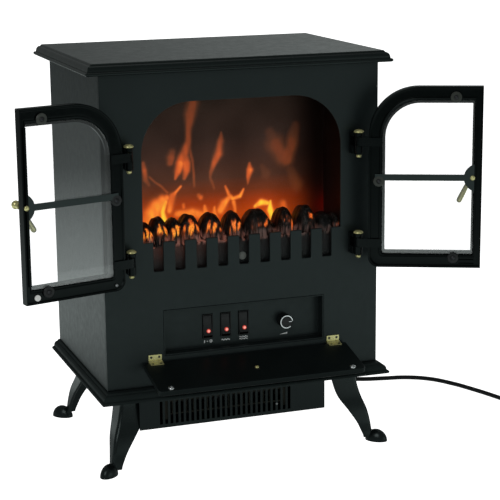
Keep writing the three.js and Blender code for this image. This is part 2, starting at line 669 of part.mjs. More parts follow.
// A pin with a domed head on top and a small acorn below.
function hingePin(pinTop) {
  const r = HINGE.pinRadius;
  const profile = [
    [0, -35], [2.6, -34.4], [3.2, -33], [2.9, -31.8], [r, -31.8], [r, -2.2],
    [6.6, -2.2], [6.4, -1], [4, 0.6], [0, 1.2],
  ];
  return turned(profile, 12).rotateX(Math.PI / 2).translate(0, 0, pinTop);
}

function addDoor(parent, side) {
  const { sign, axisX, open } = DOOR_SIDES[side];
  const oriented = (geometry) => (sign < 0 ? geometry : mirrored(geometry));
  const door = new THREE.Group();
  door.position.set(sign * axisX, DOOR.axisY, 0);
  door.rotation.z = sign * open * degrees;
  parent.add(door);
  addTo(door, `${side}_door_frame`, oriented(doorFrame(side)), glossBlack);
  addTo(door, `${side}_door_glass`, oriented(doorGlass(side)), clearGlass);
  addTo(door, `${side}_door_muntin`, oriented(doorMuntin(side)), satinBlack);
  addTo(door, `${side}_door_handle`, oriented(doorHandle()), brass);
  for (const [level, pinTop] of Object.entries(HINGE.pinTops)) {
    addTo(door, `${side}_${level}_hinge_strap`, oriented(hingeStrap(pinTop)), satinBlack);
    const fixed = [
      [`${side}_${level}_hinge_bracket`, hingeBracket(pinTop), satinBlack],
      [`${side}_${level}_hinge_pin`, hingePin(pinTop), brass],
    ];
    for (const [name, geometry, material] of fixed) {
      addTo(parent, name, oriented(geometry), material).position.set(sign * axisX, DOOR.axisY, 0);
    }
  }
}

// ---- Control flap ---------------------------------------------------------------------------
// Drawn lying flat about its hinge axis: -y runs to its front edge, and its inner face is up.
function flapOutline(inset, z) {
  const { halfWidth, start, length, cornerRadius } = FLAP;
  const x = halfWidth - inset;
  const front = -length + inset;
  const r = cornerRadius - inset / 2;
  const back = -start - inset;
  const points = [[x, back], [-x, back]];
  for (const [cx, from] of [[-x + r, 180], [x - r, 270]]) {
    for (let i = 0; i <= 3; i += 1) {
      const a = (from + (i / 3) * 90) * degrees;
      points.push([cx + r * Math.cos(a), front + r + r * Math.sin(a)]);
    }
  }
  return points.map(([px, py]) => new THREE.Vector3(px, py, z));
}

function flapPanel() {
  const { thickness, bevel } = FLAP;
  const levels = [flapOutline(bevel, -thickness), flapOutline(0, -thickness + 3), flapOutline(0, 0)];
  return loft(levels, flattenXY);
}

function flapKnob() {
  const under = -FLAP.thickness - GAP;
  const profile = [[0, 0], [4, 0], [3.4, 4], [7.5, 7], [8, 10], [5, 12.5], [0, 13]];
  return turned(profile, 16).rotateX(-Math.PI / 2).translate(0, -FLAP.knobAt, under);
}

const LEAF = { halfWidth: 9, knuckle: 1.9, sheet: 1 };

// The leaf on the flap carries the two outer knuckles.
function movingLeaf() {
  const { halfWidth, knuckle, sheet } = LEAF;
  const plate = box(-halfWidth, halfWidth, -9.5, -2.3, GAP, GAP + sheet);
  const knuckles = [[-halfWidth, -3.3], [3.3, halfWidth]].flatMap(([x0, x1]) => [
    rodX(x0, x1, 0, 0, knuckle, 14), box(x0, x1, -3, -0.6, 0.1, GAP + sheet),
  ]);
  return cut(join(plate, ...knuckles), rodX(-halfWidth - 1, halfWidth + 1, 0, 0, 1.1, 12));
}

// The leaf on the front panel carries the middle knuckle and the pin.
function fixedLeaf() {
  const { halfWidth, knuckle, sheet } = LEAF;
  const back = FRONT - GAP - FLAP.axisY;
  const plate = box(-halfWidth, halfWidth, back - sheet, back, 1.6, 9.3);
  const bridge = box(-3, 3, 1, back, 0.4, 2.1);
  return join(plate, bridge, rodX(-3, 3, 0, 0, knuckle, 14), rodX(-halfWidth, halfWidth, 0, 0, 0.8, 12));
}

function addFlap(parent) {
  const flap = new THREE.Group();
  flap.position.set(0, FLAP.axisY, FLAP.axisZ);
  flap.rotation.x = FLAP.droop * degrees;
  parent.add(flap);
  addTo(flap, 'control_flap', flapPanel(), glossBlack);
  addTo(flap, 'flap_knob', flapKnob(), blackPlastic);
  for (const { side, sign } of sides) {
    const moving = addTo(flap, `${side}_flap_hinge_leaf`, movingLeaf(), brass);
    moving.position.x = sign * FLAP.hingeX;
    const fixed = addTo(parent, `${side}_panel_hinge_leaf`, fixedLeaf(), brass);
    fixed.position.set(sign * FLAP.hingeX, FLAP.axisY, FLAP.axisZ);
  }
}

// ---- Mains lead -----------------------------------------------------------------------------
// The lead leaves the back panel, drops to the floor, runs out to the right and ends in a coil.
const FLOOR = CORD.diameter / 2 + 0.2;
const CORD_ROUTE = [
  [130, 168.9, 132], [130.1, 178, 131.2], [131, 190, 125], [132.5, 200, 112], [135, 206, 93],
  [139, 208.5, 70], [145, 207, 46], [154, 203, 26], [167, 197, 11], [184, 188, 4.6],
  [204, 176, FLOOR], [228, 159, FLOOR], [252, 139, FLOOR], [280, 122, FLOOR], [316, 112, FLOOR],
  [350, 104, FLOOR], [381, 84, FLOOR], [404, 50, FLOOR], [421, 10, FLOOR], [436, -34, FLOOR],
  [445, -68, FLOOR], [446.5, -92, FLOOR],
];

function strainRelief() {
  const { x, z, reliefLength } = OUTLET;
  const profile = [[0, 0], [9.5, 0], [9.5, 3], [6.4, 4], [4.3, reliefLength], [0, reliefLength]];
  return turned(profile, 16).translate(x, BACK + GAP, z);
}

function cordTube() {
  const path = new THREE.CatmullRomCurve3(CORD_ROUTE.map((point) => new THREE.Vector3(...point)));
  const section = new THREE.Shape();
  const r = CORD.diameter / 2;
  for (let i = 0; i < CORD.sides; i += 1) {
    const a = ((i + 0.5) / CORD.sides) * 2 * Math.PI;
    const point = [r * Math.cos(a), r * Math.sin(a)];
    if (i === 0) section.moveTo(...point);
    else section.lineTo(...point);
  }
  section.closePath();
  return new THREE.ExtrudeGeometry(section, { steps: 44, extrudePath: path, bevelEnabled: false });
}

function cordCoil() {
  const { inner, outer, height } = COIL;
  const profile = [[inner, 0.2], [outer, 0.2], [outer, height], [inner, height], [inner, 0.2]];
  return turned(profile, 28).rotateX(Math.PI / 2);
}

// A round two-pin plug lying on its side. Its pins point to -y, and the lead enters its other end.
function mainsPlug() {
  const profile = [
    [0, PLUG.back], [4.4, PLUG.back], [5.6, -16], [13, -8], [PLUG.radius, 2], [PLUG.radius, 16], [0, 16],
  ];
  const pins = [-9.5, 9.5].map((z) => rodY(15, 35, 0, z, 2.4, 12));
  return join(turned(profile, 20), ...pins).rotateZ(Math.PI);
}

function addCord(parent) {
  addTo(parent, 'strain_relief', strainRelief(), rubberBlack);
  addTo(parent, 'mains_cord', cordTube(), rubberBlack);
  addTo(parent, 'cord_coil', cordCoil(), rubberBlack).position.set(COIL.x, COIL.y, 0);
  const plug = addTo(parent, 'mains_plug', mainsPlug(), rubberBlack);
  plug.position.set(COIL.x - COIL.outer + CORD.diameter / 2, COIL.y - 48.5, PLUG.radius + 0.3);
}

// ---- Assembly -------------------------------------------------------------------------------
const appliance = new THREE.Group();
addCabinet(appliance);
addLegs(appliance);
addControls(appliance);
addHeater(appliance);
addFirebox(appliance);
for (const { side } of sides) addDoor(appliance, side);
addFlap(appliance);

// The origin is on the floor, at the middle of what the appliance covers without its lead.
const covered = new THREE.Box3().setFromObject(appliance);
const middle = covered.getCenter(new THREE.Vector3());
addCord(appliance);
appliance.position.set(-middle.x, -middle.y, -covered.min.z);

const group = new THREE.Group();
group.add(appliance);

export default group;
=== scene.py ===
"""Looks of a stove-style electric fireplace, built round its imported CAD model.

Lengths are in millimetres from the cabinet's own centre line unless a name says otherwise:
x runs to the right seen from the front, y to the back, z up from the floor.
"""
import json
import math
from types import SimpleNamespace as Sizes

import bmesh
import bpy
from mathutils import Matrix, Vector, noise


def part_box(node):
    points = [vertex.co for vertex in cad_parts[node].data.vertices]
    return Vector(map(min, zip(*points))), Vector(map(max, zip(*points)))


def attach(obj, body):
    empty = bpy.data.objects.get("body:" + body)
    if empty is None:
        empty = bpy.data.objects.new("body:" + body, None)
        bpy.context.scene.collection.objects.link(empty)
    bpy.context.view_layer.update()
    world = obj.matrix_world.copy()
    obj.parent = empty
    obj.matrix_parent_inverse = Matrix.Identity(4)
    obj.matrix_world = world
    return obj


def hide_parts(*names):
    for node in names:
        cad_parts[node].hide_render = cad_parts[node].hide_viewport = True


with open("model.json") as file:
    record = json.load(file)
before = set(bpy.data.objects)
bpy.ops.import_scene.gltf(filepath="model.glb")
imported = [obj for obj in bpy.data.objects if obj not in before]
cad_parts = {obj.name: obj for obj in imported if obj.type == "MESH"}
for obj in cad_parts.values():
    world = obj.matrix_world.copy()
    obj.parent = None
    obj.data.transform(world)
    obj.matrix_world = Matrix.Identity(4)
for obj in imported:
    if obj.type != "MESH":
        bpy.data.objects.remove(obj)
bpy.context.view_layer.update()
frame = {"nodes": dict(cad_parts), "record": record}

# ---- Where things are ----
MM = 0.001
HALF_DEPTH = 136.0
panel_low, panel_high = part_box("front_panel")
ORIGIN = Vector(((panel_low[0] + panel_high[0]) / 2, panel_low[1] + HALF_DEPTH * MM, 0))
BODY_OF = {node: body for body, nodes in frame["record"]["behaviour"]["bodies"].items() for node in nodes}
SIGNS = {"left": -1, "right": 1}


def at(x, y, z):
    """The place in the row frame, in metres, of a point of the cabinet in millimetres."""
    return ORIGIN + Vector((x, y, z)) * MM


def linked(name, data):
    obj = bpy.data.objects.new(name, data)
    bpy.context.scene.collection.objects.link(obj)
    return obj


# ---- Camera ----
CAMERA = Sizes(place=(-690.95, -2089.89, 762.23), yaw=-19.682, pitch=-12.85, roll=-0.583, lens=115.74)


def add_camera():
    camera = linked("camera", bpy.data.cameras.new("camera"))
    camera.data.lens = CAMERA.lens
    camera.data.sensor_width = 36
    camera.data.clip_end = 50
    stance = Matrix.Translation(at(*CAMERA.place))
    for angle, axis in ((CAMERA.yaw, "Z"), (90 + CAMERA.pitch, "X"), (CAMERA.roll, "Z")):
        stance = stance @ Matrix.Rotation(math.radians(angle), 4, axis)
    camera.matrix_world = stance
    bpy.context.scene.camera = camera


add_camera()

# ---- Geometry helpers: each solid is (points, faces) ----


def merged(*geometries):
    points, faces = [], []
    for more_points, more_faces in geometries:
        start = len(points)
        points += more_points
        faces += [tuple(start + i for i in face) for face in more_faces]
    return points, faces


def loft(outlines, closed=False):
    """A skin through a row of outlines. Its ends are capped, or joined when closed."""
    count, rows = len(outlines[0]), len(outlines)
    faces = []
    for k in range(rows if closed else rows - 1):
        a, b = k * count, ((k + 1) % rows) * count
        for i in range(count):
            j = (i + 1) % count
            faces.append((a + i, a + j, b + j, b + i))
    if not closed:
        faces.append(tuple(reversed(range(count))))
        faces.append(tuple(range((rows - 1) * count, rows * count)))
    return [tuple(p) for outline in outlines for p in outline], faces


def turned(profile, centre, axis="y", sides=32, flutes=None):
    """A turned piece. profile is (radius, height) pairs that start and end on the axis."""
    across = {"y": (0, 2, 1), "z": (0, 1, 2)}[axis]
    points, rings = [], []
    for radius, height in profile:
        ring = []
        for i in range(1 if radius < 1e-6 else sides):
            angle = 2 * math.pi * i / sides
            r = radius * (flutes(angle, radius) if flutes else 1)
            point = list(centre)
            for k, shift in zip(across, (r * math.cos(angle), r * math.sin(angle), height)):
                point[k] += shift
            ring.append(len(points))
            points.append(tuple(point))
        rings.append(ring)
    faces = []
    for low, high in zip(rings, rings[1:]):
        for i in range(sides):
            j = (i + 1) % sides
            corners = [low[i % len(low)], low[j % len(low)], high[j % len(high)], high[i % len(high)]]
            face = tuple(dict.fromkeys(corners))
            if len(face) > 2:
                faces.append(face)
    return points, faces


def swept(path, radii, sides):
    """A round rod along a path, with one radius for each of its points."""
    path = [Vector(p) for p in path]
    side = Vector((0.31, 0.87, 0.39))
    outlines = []
    for k, point in enumerate(path):
        along = (path[min(k + 1, len(path) - 1)] - path[max(k - 1, 0)]).normalized()
        side = (side - along * side.dot(along)).normalized()
        other = along.cross(side)
        outlines.append([point + side * u + other * v for u, v in arc(0, 0, radii[k], 0, 360, sides)[:-1]])
    return loft(outlines)


def arc(cx, cy, radius, start, end, steps):
    """Points along an arc between two angles in degrees."""
    angles = (math.radians(start + (end - start) * i / steps) for i in range(steps + 1))
    return [(cx + radius * math.cos(a), cy + radius * math.sin(a)) for a in angles]


def rectangle(half_width, low, high):
    return [(-half_width, low), (half_width, low), (half_width, high), (-half_width, high)]


def rounded(corners, radius, steps=4):
    """The outline of a right-angled polygon with rounded corners; radius is one number or a list."""
    outline = []
    for k, corner in enumerate(corners):
        here = Vector(corner)
        back = (Vector(corners[k - 1]) - here).normalized()
        ahead = (Vector(corners[(k + 1) % len(corners)]) - here).normalized()
        r = radius[k] if isinstance(radius, list) else radius
        centre = here + (back + ahead) * r
        outline += [centre - ahead * u - back * v for u, v in arc(0, 0, r, 0, 90, steps)]
    return outline


def slab(corners, low, high, bevel, radius=0.8, steps=4):
    """A plate between two depths, its edges bevelled in two steps and its corners rounded."""
    middle = sum((Vector(c) for c in corners), Vector((0, 0))) / len(corners)
    half = bevel * 0.3
    rim = rounded(corners, max(radius, bevel * 1.05), steps)
    front = [(bevel, low), (half, low + half), (0, low + bevel)]
    back = [(inset, low + high - depth) for inset, depth in reversed(front)]
    outlines = []
    for inset, depth in front + back:
        shrunk = [p - Vector(math.copysign(inset, away) for away in p - middle) for p in rim]
        outlines.append([(p.x, depth, p.y) for p in shrunk])
    return loft(outlines)


def block(x0, x1, y0, y1, z0, z1, bevel=0.5):
    return slab([(x0, z0), (x1, z0), (x1, z1), (x0, z1)], y0, y1, bevel)


# ---- Making pieces ----


def finish_mesh(mesh, smooth, join=False, bevel=0.0):
    """Turns faces outwards and shades them smooth up to an angle; a CAD mesh is joined and bevelled first."""
    work = bmesh.new()
    work.from_mesh(mesh)
    if join:
        bmesh.ops.remove_doubles(work, verts=work.verts, dist=2e-6)
    if bevel:
        bmesh.ops.dissolve_limit(work, angle_limit=math.radians(0.6), verts=work.verts, edges=work.edges)
        corner = math.radians(smooth)
        sharp = [e for e in work.edges if len(e.link_faces) == 2 and e.calc_face_angle(0) > corner]
        bmesh.ops.bevel(
            work, geom=sharp, offset=bevel * MM, segments=2, affect="EDGES", clamp_overlap=True, profile=0.6)
    bmesh.ops.recalc_face_normals(work, faces=work.faces)
    work.to_mesh(mesh)
    work.free()
    mesh.shade_smooth()
    mesh.set_sharp_from_angle(angle=math.radians(smooth))


def dressed(name, mesh, material, node, body="cabinet"):
    """An object of the mesh. One that stands for a CAD node rides on that node's body."""
    obj = linked(name, mesh)
    mesh.materials.clear()
    mesh.materials.append(material)
    obj.modifiers.new("even_shading", "WEIGHTED_NORMAL").keep_sharp = True
    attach(obj, BODY_OF.get(node, body))
    if node:
        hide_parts(node)
    return obj


def piece(name, geometry, material, node=None, body="cabinet", place=at, smooth=38):
    """A piece from points in millimetres. place takes them to the row frame."""
    points, faces = geometry
    mesh = bpy.data.meshes.new(name)
    mesh.from_pydata([place(*p) for p in points], [], faces)
    finish_mesh(mesh, smooth)
    return dressed(name, mesh, material, node, body)


def refined(node, material, bevel=0.3):
    """A copy of a CAD node with joined faces, softened edges and smooth round surfaces."""
    mesh = frame["nodes"][node].data.copy()
    finish_mesh(mesh, 38, join=True, bevel=bevel)
    return dressed(f"{node}_finished", mesh, material, node)


def coat_node(node, material):
    """Gives a CAD node that keeps its shape its material."""
    obj = frame["nodes"][node]
    obj.data.materials.clear()
    obj.data.materials.append(material)


class Nodes:
    """The few kinds of shader node that everything below is made from."""

    def __init__(self, tree):
        self.tree = tree

    def node(self, kind, **settings):
        made = self.tree.nodes.new("ShaderNode" + kind)
        for name, value in settings.items():
            setattr(made, name, value)
        return made

    def put(self, value, socket):
        if isinstance(value, bpy.types.NodeSocket):
            self.tree.links.new(value, socket)
        else:
            socket.default_value = value

    def fed(self, kind, output, inputs, **settings):
        """The output of a new node whose inputs, by name or place, are given."""
        made = self.node(kind, **settings)
        for name, value in inputs.items():
            self.put(value, made.inputs[name])
        return made.outputs[output]

    def coordinates(self, stretch=(1, 1, 1)):
        source = self.node("TexCoord").outputs["Object"]
        return self.fed("Mapping", "Vector", {"Vector": source, "Scale": stretch})

    def noise(self, size_mm, detail=3.0, roughness=0.5, stretch=(1, 1, 1)):
        place, scale = self.coordinates(stretch), 1 / (size_mm * MM)
        return self.fed("TexNoise", "Fac", {
            "Vector": place, "Scale": scale, "Detail": detail, "Roughness": roughness})

    def spread(self, value, low, high, start=0.3, end=0.7):
        return self.fed("MapRange", "Result", {
            "Value": value, "From Min": start, "From Max": end, "To Min": low, "To Max": high})

    def cloud(self, size_mm, detail):
        return self.spread(self.noise(size_mm, detail), 0, 1)

    def calculate(self, operation, first, second):
        return self.fed("Math", "Value", {0: first, 1: second}, operation=operation)

    def blend(self, factor, first, second, kind="MIX"):
        made = self.node("Mix", data_type="RGBA", blend_type=kind)
        self.put(factor, made.inputs["Factor"])
        colour_a, colour_b = [socket for socket in made.inputs if socket.type == "RGBA"]
        self.put(first, colour_a)
        self.put(second, colour_b)
        return next(socket for socket in made.outputs if socket.type == "RGBA")

    def white_to_camera(self, dim, white):
        """White where it is looked at, dim where it lights."""
        seen = self.node("LightPath").outputs["Is Camera Ray"]
        return self.fed("MixShader", "Shader", {0: seen, 1: dim, 2: white})


class Recipe(Nodes):
    """One material of the object."""

    def __init__(self, name):
        self.material = bpy.data.materials.new(name)
        self.material.use_nodes = True
        super().__init__(self.material.node_tree)
        self.shader = self.tree.nodes["Principled BSDF"]
        self.surface = self.tree.nodes["Material Output"].inputs["Surface"]

    def set(self, **values):
        for name, value in values.items():
            self.put(value, self.shader.inputs[name.replace("_", " ").title().replace("Ior", "IOR")])

    def bump(self, height, strength, distance_mm):
        self.set(normal=self.fed("Bump", "Normal", {
            "Height": height, "Strength": strength, "Distance": distance_mm * MM}))


def shade(colour, factor):
    return (*(min(1.0, c * factor) for c in colour), 1.0)


def paint(name, colour, roughness, grain_mm, grain, gloss=0.5):
    """Sprayed paint: faint cloudy colour, uneven gloss and a fine orange-peel grain."""
    r = Recipe(name)
    r.set(base_color=r.blend(r.cloud(60, 3), shade(colour, 0.85), shade(colour, 1.18)))
    r.set(roughness=r.spread(r.noise(9, 5, 0.6), roughness - 0.04, roughness + 0.05))
    r.set(specular_ior_level=gloss, specular_tint=(0.84, 1.0, 0.98, 1))
    r.bump(r.noise(grain_mm, 2), grain, 0.05)
    return r.material


def metal(name, colour, roughness, wear=0.12, metallic=1.0):
    """Plated or bare metal with fine drawn lines and dulled patches."""
    r = Recipe(name)
    r.set(base_color=r.blend(r.cloud(6, 4), shade(colour, 0.86), shade(colour, 1.05)), metallic=metallic)
    lines = r.noise(0.7, 4, 0.6, (1, 1, 14))
    r.set(roughness=r.spread(lines, roughness, roughness + wear))
    r.bump(lines, 0.08, 0.02)
    return r.material


def moulded(name, colour, roughness, grain_mm=0.35, grain=0.25):
    """Moulded plastic or rubber with a fine spark-eroded grain."""
    r = Recipe(name)
    r.set(base_color=r.blend(r.cloud(18, 4), shade(colour, 0.85), shade(colour, 1.2)))
    r.set(roughness=r.spread(r.noise(3, 4), roughness - 0.05, roughness + 0.07))
    r.bump(r.noise(grain_mm, 3), grain, 0.05)
    return r.material


def clear_glass(name, tint, roughness, reflection, reflection_band=None):
    """Thin glass: what is behind it shows through, under a reflection with light smears.

    reflection is the share of light turned back as (facing it, at a grazing angle). The last
    argument is (height in metres, added share) of a painted reflection along the bottom of a pane.
    """
    r = Recipe(name)
    share = r.spread(r.fed("Fresnel", "Fac", {"IOR": 1.5}), *reflection, 0.05, 0.6)
    # A painted reflection: the share turned back is raised in a band along the bottom of the pane.
    if reflection_band:
        height, added = reflection_band
        z = r.fed("SeparateXYZ", "Z", {"Vector": r.coordinates()})
        share = r.calculate("ADD", share, r.spread(z, added, 0.0, height - 0.0004, height + 0.0004))
    through = r.fed("BsdfTransparent", "BSDF", {"Color": (*tint, 1)})
    smears = r.spread(r.noise(40, 4), roughness, roughness + 0.04)
    shine = r.fed("BsdfGlossy", "BSDF", {"Roughness": smears})
    r.put(r.fed("MixShader", "Shader", {0: share, 1: through, 2: shine}), r.surface)
    r.tree.nodes.remove(r.shader)
    return r.material


def lit(name, colour, strength, roughness=0.3):
    """A surface that glows a little unevenly: a lamp or lens, or painted light on a part that is no lamp."""
    r = Recipe(name)
    glow = r.blend(r.cloud(1.5, 2), shade(colour, 0.8), shade(colour, 1.0))
    r.set(base_color=shade(colour, 0.6), roughness=roughness, emission_color=glow, emission_strength=strength)
    return r.material


def picture(name, grain_mm, grain, base):
    """A surface whose light, and colour if it has a base, are painted on its points under a fine grain."""
    r = Recipe(name)
    light, tint = (r.node("Attribute", attribute_name=layer).outputs["Color"] for layer in ("light", "tint"))
    fleck = r.spread(r.noise(grain_mm, 4, 0.6), 1 - grain, 1 + grain)
    grey = r.fed("CombineColor", "Color", {"Red": fleck, "Green": fleck, "Blue": fleck})
    r.set(base_color=tint if base else (0.006, 0.004, 0.003, 1), roughness=0.5)
    r.set(specular_ior_level=0.4 if base else 0.0)
    r.set(emission_color=r.blend(1.0, light, grey, "MULTIPLY"), emission_strength=1.0)
    if base:
        r.bump(r.noise(grain_mm * 1.6, 4), 0.3, 0.4)
    return r.material


SATIN = paint("satin_black", (0.0086, 0.0118, 0.0126), 0.38, 1.2, 0.006)
HINGE = paint("hinge_black", (0.0020, 0.0030, 0.0032), 0.24, 1.2, 0.05, gloss=0.20)
# Black for the firebox lining, tinted red: the red is the flames' glow on its walls, painted in.
FIREBOX_GLOW_BLACK = paint("firebox_black_red_glow", (0.0230, 0.0056, 0.0028), 0.40, 0.6, 0.1, gloss=0.35)
GLOSS = paint("gloss_black", (0.0016, 0.0025, 0.0026), 0.19, 3.0, 0.02, gloss=0.17)
BOARD = paint("painted_board", (0.0095, 0.0130, 0.0126), 0.22, 6.0, 0.008, gloss=0.36)
FLAP = paint("flap_black", (0.0085, 0.0118, 0.0118), 0.34, 3.0, 0.01, gloss=0.26)
# A lighter, rougher copy of the board paint for the base board: its extra lightness is painted light.
BASE_BOARD_LIT_PAINT = paint("base_board_paint_lit", (0.0240, 0.0315, 0.0310), 0.46, 6.0, 0.008, gloss=0.05)
CASTING = paint("cast_black", (0.0075, 0.0105, 0.0108), 0.24, 1.8, 0.06)
BAR = paint("bar_black", (0.0230, 0.0310, 0.0310), 0.36, 1.2, 0.05)
PLASTIC = moulded("black_plastic", (0.006, 0.007, 0.0075), 0.36)
RUBBER = moulded("rubber", (0.008, 0.008, 0.009), 0.5, grain_mm=0.3, grain=0.2)
GREY_TRIM = moulded("grey_trim", (0.052, 0.056, 0.048), 0.32, grain=0.1)
LEGEND = moulded("legend_white", (0.94, 0.96, 0.96), 0.6, grain=0.02)
# A pale grey for the stud in the ember bed's skirt: its paleness is a painted reflection.
STUD_GLINT_GREY = moulded("stud_grey_painted_glint", (0.34, 0.35, 0.33), 0.35, grain=0.1)
BRASS = metal("brass", (1.0, 0.90, 0.42), 0.17, metallic=0.6)
STEEL = metal("steel", (0.55, 0.56, 0.57), 0.38)
DARK_STEEL = metal("dark_steel", (0.08, 0.08, 0.085), 0.36)
CHROME = metal("chrome", (0.86, 0.87, 0.88), 0.10, wear=0.06)
# The heater is coloured dark so that it reads as the shade behind the grille: painted shade.
HEATER = metal("heater", (0.09, 0.085, 0.07), 0.5)
# The panes' band of stronger reflection along their bottoms is a painted reflection.
PANE = clear_glass("clear_glass", (1.0, 1.0, 1.0), 0.02, (0.12, 0.75), reflection_band=(0.2935, 0.05))
SCREEN_GLASS = clear_glass("front_screen_glass", (0.98, 0.98, 0.975), 0.05, (0.002, 0.6))
RED_LENS = lit("red_indicator", (1.0, 0.11, 0.08), 0.40, 0.2)
# A lighter glow for the middle of each indicator lens: a painted highlight.
RED_LENS_HIGHLIGHT = lit("red_indicator_highlight", (1.0, 0.36, 0.29), 0.95, 0.2)
# The catch button's white glows a little though it is no lamp: painted light.
GLOWING_WHITE = lit("white_trim", (0.93, 0.93, 0.90), 0.28)
LAMP = lit("lamp_glass", (1.0, 0.62, 0.25), 3.0)
FLAMES = picture("flame_picture", 6.0, 0.04, base=False)
COALS = picture("coals", 1.6, 0.45, base=True)

# ---- Mains lead ----
LEAD = Sizes(diameter=6.5, length=1.8)
COIL = Sizes(x=484, y=-126, radii=(43.2, 36.6, 30.0, 30.0, 36.6, 43.2), low=4.1, high=10.7)
PLUG = Sizes(x=440.75, back=-134.5, z=18.8)
# The same route as part.mjs, in metres from the cabinet's centre line.
LEAD_ROUTE = [
    (0.130, 0.1689, 0.132), (0.1301, 0.178, 0.1312), (0.131, 0.190, 0.125), (0.1325, 0.200, 0.112),
    (0.135, 0.206, 0.093), (0.139, 0.2085, 0.070), (0.145, 0.207, 0.046), (0.154, 0.203, 0.026),
    (0.167, 0.197, 0.011), (0.184, 0.188, 0.0046), (0.204, 0.176, 0.00345), (0.228, 0.159, 0.00345),
    (0.252, 0.139, 0.00345), (0.280, 0.122, 0.00345), (0.316, 0.112, 0.00345), (0.350, 0.104, 0.00345),
    (0.381, 0.084, 0.00345), (0.404, 0.050, 0.00345), (0.421, 0.010, 0.00345), (0.436, -0.034, 0.00345),
    (0.445, -0.068, 0.00345), (0.4465, -0.092, 0.00345),
]


def eased(t):
    t = min(1.0, max(0.0, t))
    return t * t * (3 - 2 * t)


def coil_points(per_turn=20):
    """Turns lying side by side: three on the floor, going in, then two on top, going out."""
    points = []
    for step in range((len(COIL.radii) - 1) * per_turn):
        turn, part = divmod(step / per_turn, 1)
        turn = int(turn)
        change = eased((part - 0.84) / 0.16)
        radius = COIL.radii[turn] + (COIL.radii[turn + 1] - COIL.radii[turn]) * change
        z = COIL.low if turn < 3 else COIL.high
        if turn == 2:
            z += (COIL.high - COIL.low) * change
        if turn == 4:
            z += (PLUG.z - COIL.high) * eased((part - 0.70) / 0.32)
        angle = math.pi + 2 * math.pi * part
        points.append(at(COIL.x + radius * math.cos(angle), COIL.y + radius * math.sin(angle), z))
    return points


def add_lead():
    points = [ORIGIN + Vector(p) for p in LEAD_ROUTE] + [at(443.4, -108, 3.8), *coil_points()]
    points += [at(PLUG.x, COIL.y + 0.5, PLUG.z), at(PLUG.x, PLUG.back + 0.3, PLUG.z)]
    curve = bpy.data.curves.new("mains_lead", "CURVE")
    curve.dimensions = "3D"
    curve.bevel_depth = LEAD.diameter / 2 * MM
    curve.bevel_resolution = 5
    curve.resolution_u = 5
    spline = curve.splines.new("BEZIER")
    spline.bezier_points.add(len(points) - 1)
    for knot, point in zip(spline.bezier_points, points):
        knot.co = point
        knot.handle_left_type = knot.handle_right_type = "AUTO"
    curve.materials.append(RUBBER)
    lead = linked("mains_lead", curve)
    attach(lead, "cabinet")
    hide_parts("mains_cord", "cord_coil")
    return lead


def add_plug():
    """A round plug: ribbed grip, waist, thick head and two pins."""
    profile = [(0, 0), (4.2, 0), (4.6, 0.6)]
    for k in range(6):
        r, h = 4.6 + k * 0.15, 2 + k * 3.4
        profile += [(r, h), (r + 0.8, h + 0.8), (r + 0.8, h + 1.8), (r + 0.1, h + 2.6)]
    profile += [(7.0, 24.5), (11.5, 29.5), (15.0, 33.5), (17.6, 38), (18.4, 43), (18.4, 53), (17.6, 55)]
    profile += [(16.8, 55.8), (15.6, 55.9), (15.4, 55.2), (0, 55.2)]
    centre = (PLUG.x, PLUG.back, PLUG.z)
    body = turned([(r, -h) for r, h in profile], centre, sides=40)
    pin = [(0, -54), (2.4, -54), (2.4, -73), (2.0, -74.4), (1.1, -75), (0, -75)]
    pins = [turned(pin, (*centre[:2], PLUG.z + side), sides=20) for side in (-9.5, 9.5)]
    return [piece("plug_body", body, RUBBER, "mains_plug"), piece("plug_pins", merged(*pins), CHROME)]


def add_strain_relief():
    """A flange on the back panel and a tapered sleeve cut by flexing grooves."""
    low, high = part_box("strain_relief")
    length = (high[1] - low[1]) / MM
    profile = [(0, 0), (9.3, 0), (9.5, 0.5), (9.5, 2.6), (9.0, 3.1), (6.5, 3.3)]
    for k in range(7):
        h = 5 + k * 3.7
        r = 6.4 - 2.0 * h / length
        profile += [(r, h), (r, h + 2.2), (r - 1.0, h + 2.5), (r - 1.0, h + 3.3)]
    profile += [(4.3, length - 0.8), (4.0, length), (0, length)]
    return piece("lead_sleeve", turned(profile, (130, HALF_DEPTH + 0.3, 132)), RUBBER, "strain_relief")


def add_tie():
    """A flat strap round the coil's bundle of turns."""
    centre = Vector((COIL.x, COIL.y))
    out = Matrix.Rotation(math.radians(35), 2) @ Vector((1, 0))
    along = Vector((-out.y, out.x))

    def ring(near, far, low, high, radius, width):
        corners = rounded([(near, low), (far, low), (far, high), (near, high)], radius, 6)
        return [(*(centre + out * r + along * width), z) for r, z in corners]

    widths = [(-4.2, 0.25), (-3.6, 0), (3.6, 0), (4.2, 0.25)]
    outside = [ring(26.2, 47.2, 0.05, 14.8, 3.4, width) for width, _ in widths]
    inside = [ring(27.1 - thin, 46.3 + thin, 0.8, 13.9, 2.6, width) for width, thin in reversed(widths)]
    return piece("coil_strap", loft(outside + inside, closed=True), PLASTIC)


lead = add_lead()
on_lead = [*add_plug(), add_strain_relief(), add_tie()]

# ---- Boards and panels ----
BODY_HALF_WIDTH = 191.5
TOP_BOARD = Sizes(side=18.5, front=9.5, back=20, low=529.5, high=544.5)
BASE_BOARD = Sizes(side=12.3, front=19.6, back=0, low=101.5, high=115.7)
PANEL = Sizes(low=116.0, high=529.2, front=-136, back=-132)
ARCH = Sizes(half=138, low=310, high=491, radius=67)
FRET = Sizes(slots=9, pitch=29.5, width=13.5, bottom=271)
RECESS = Sizes(half=113.5, low=156, high=218)


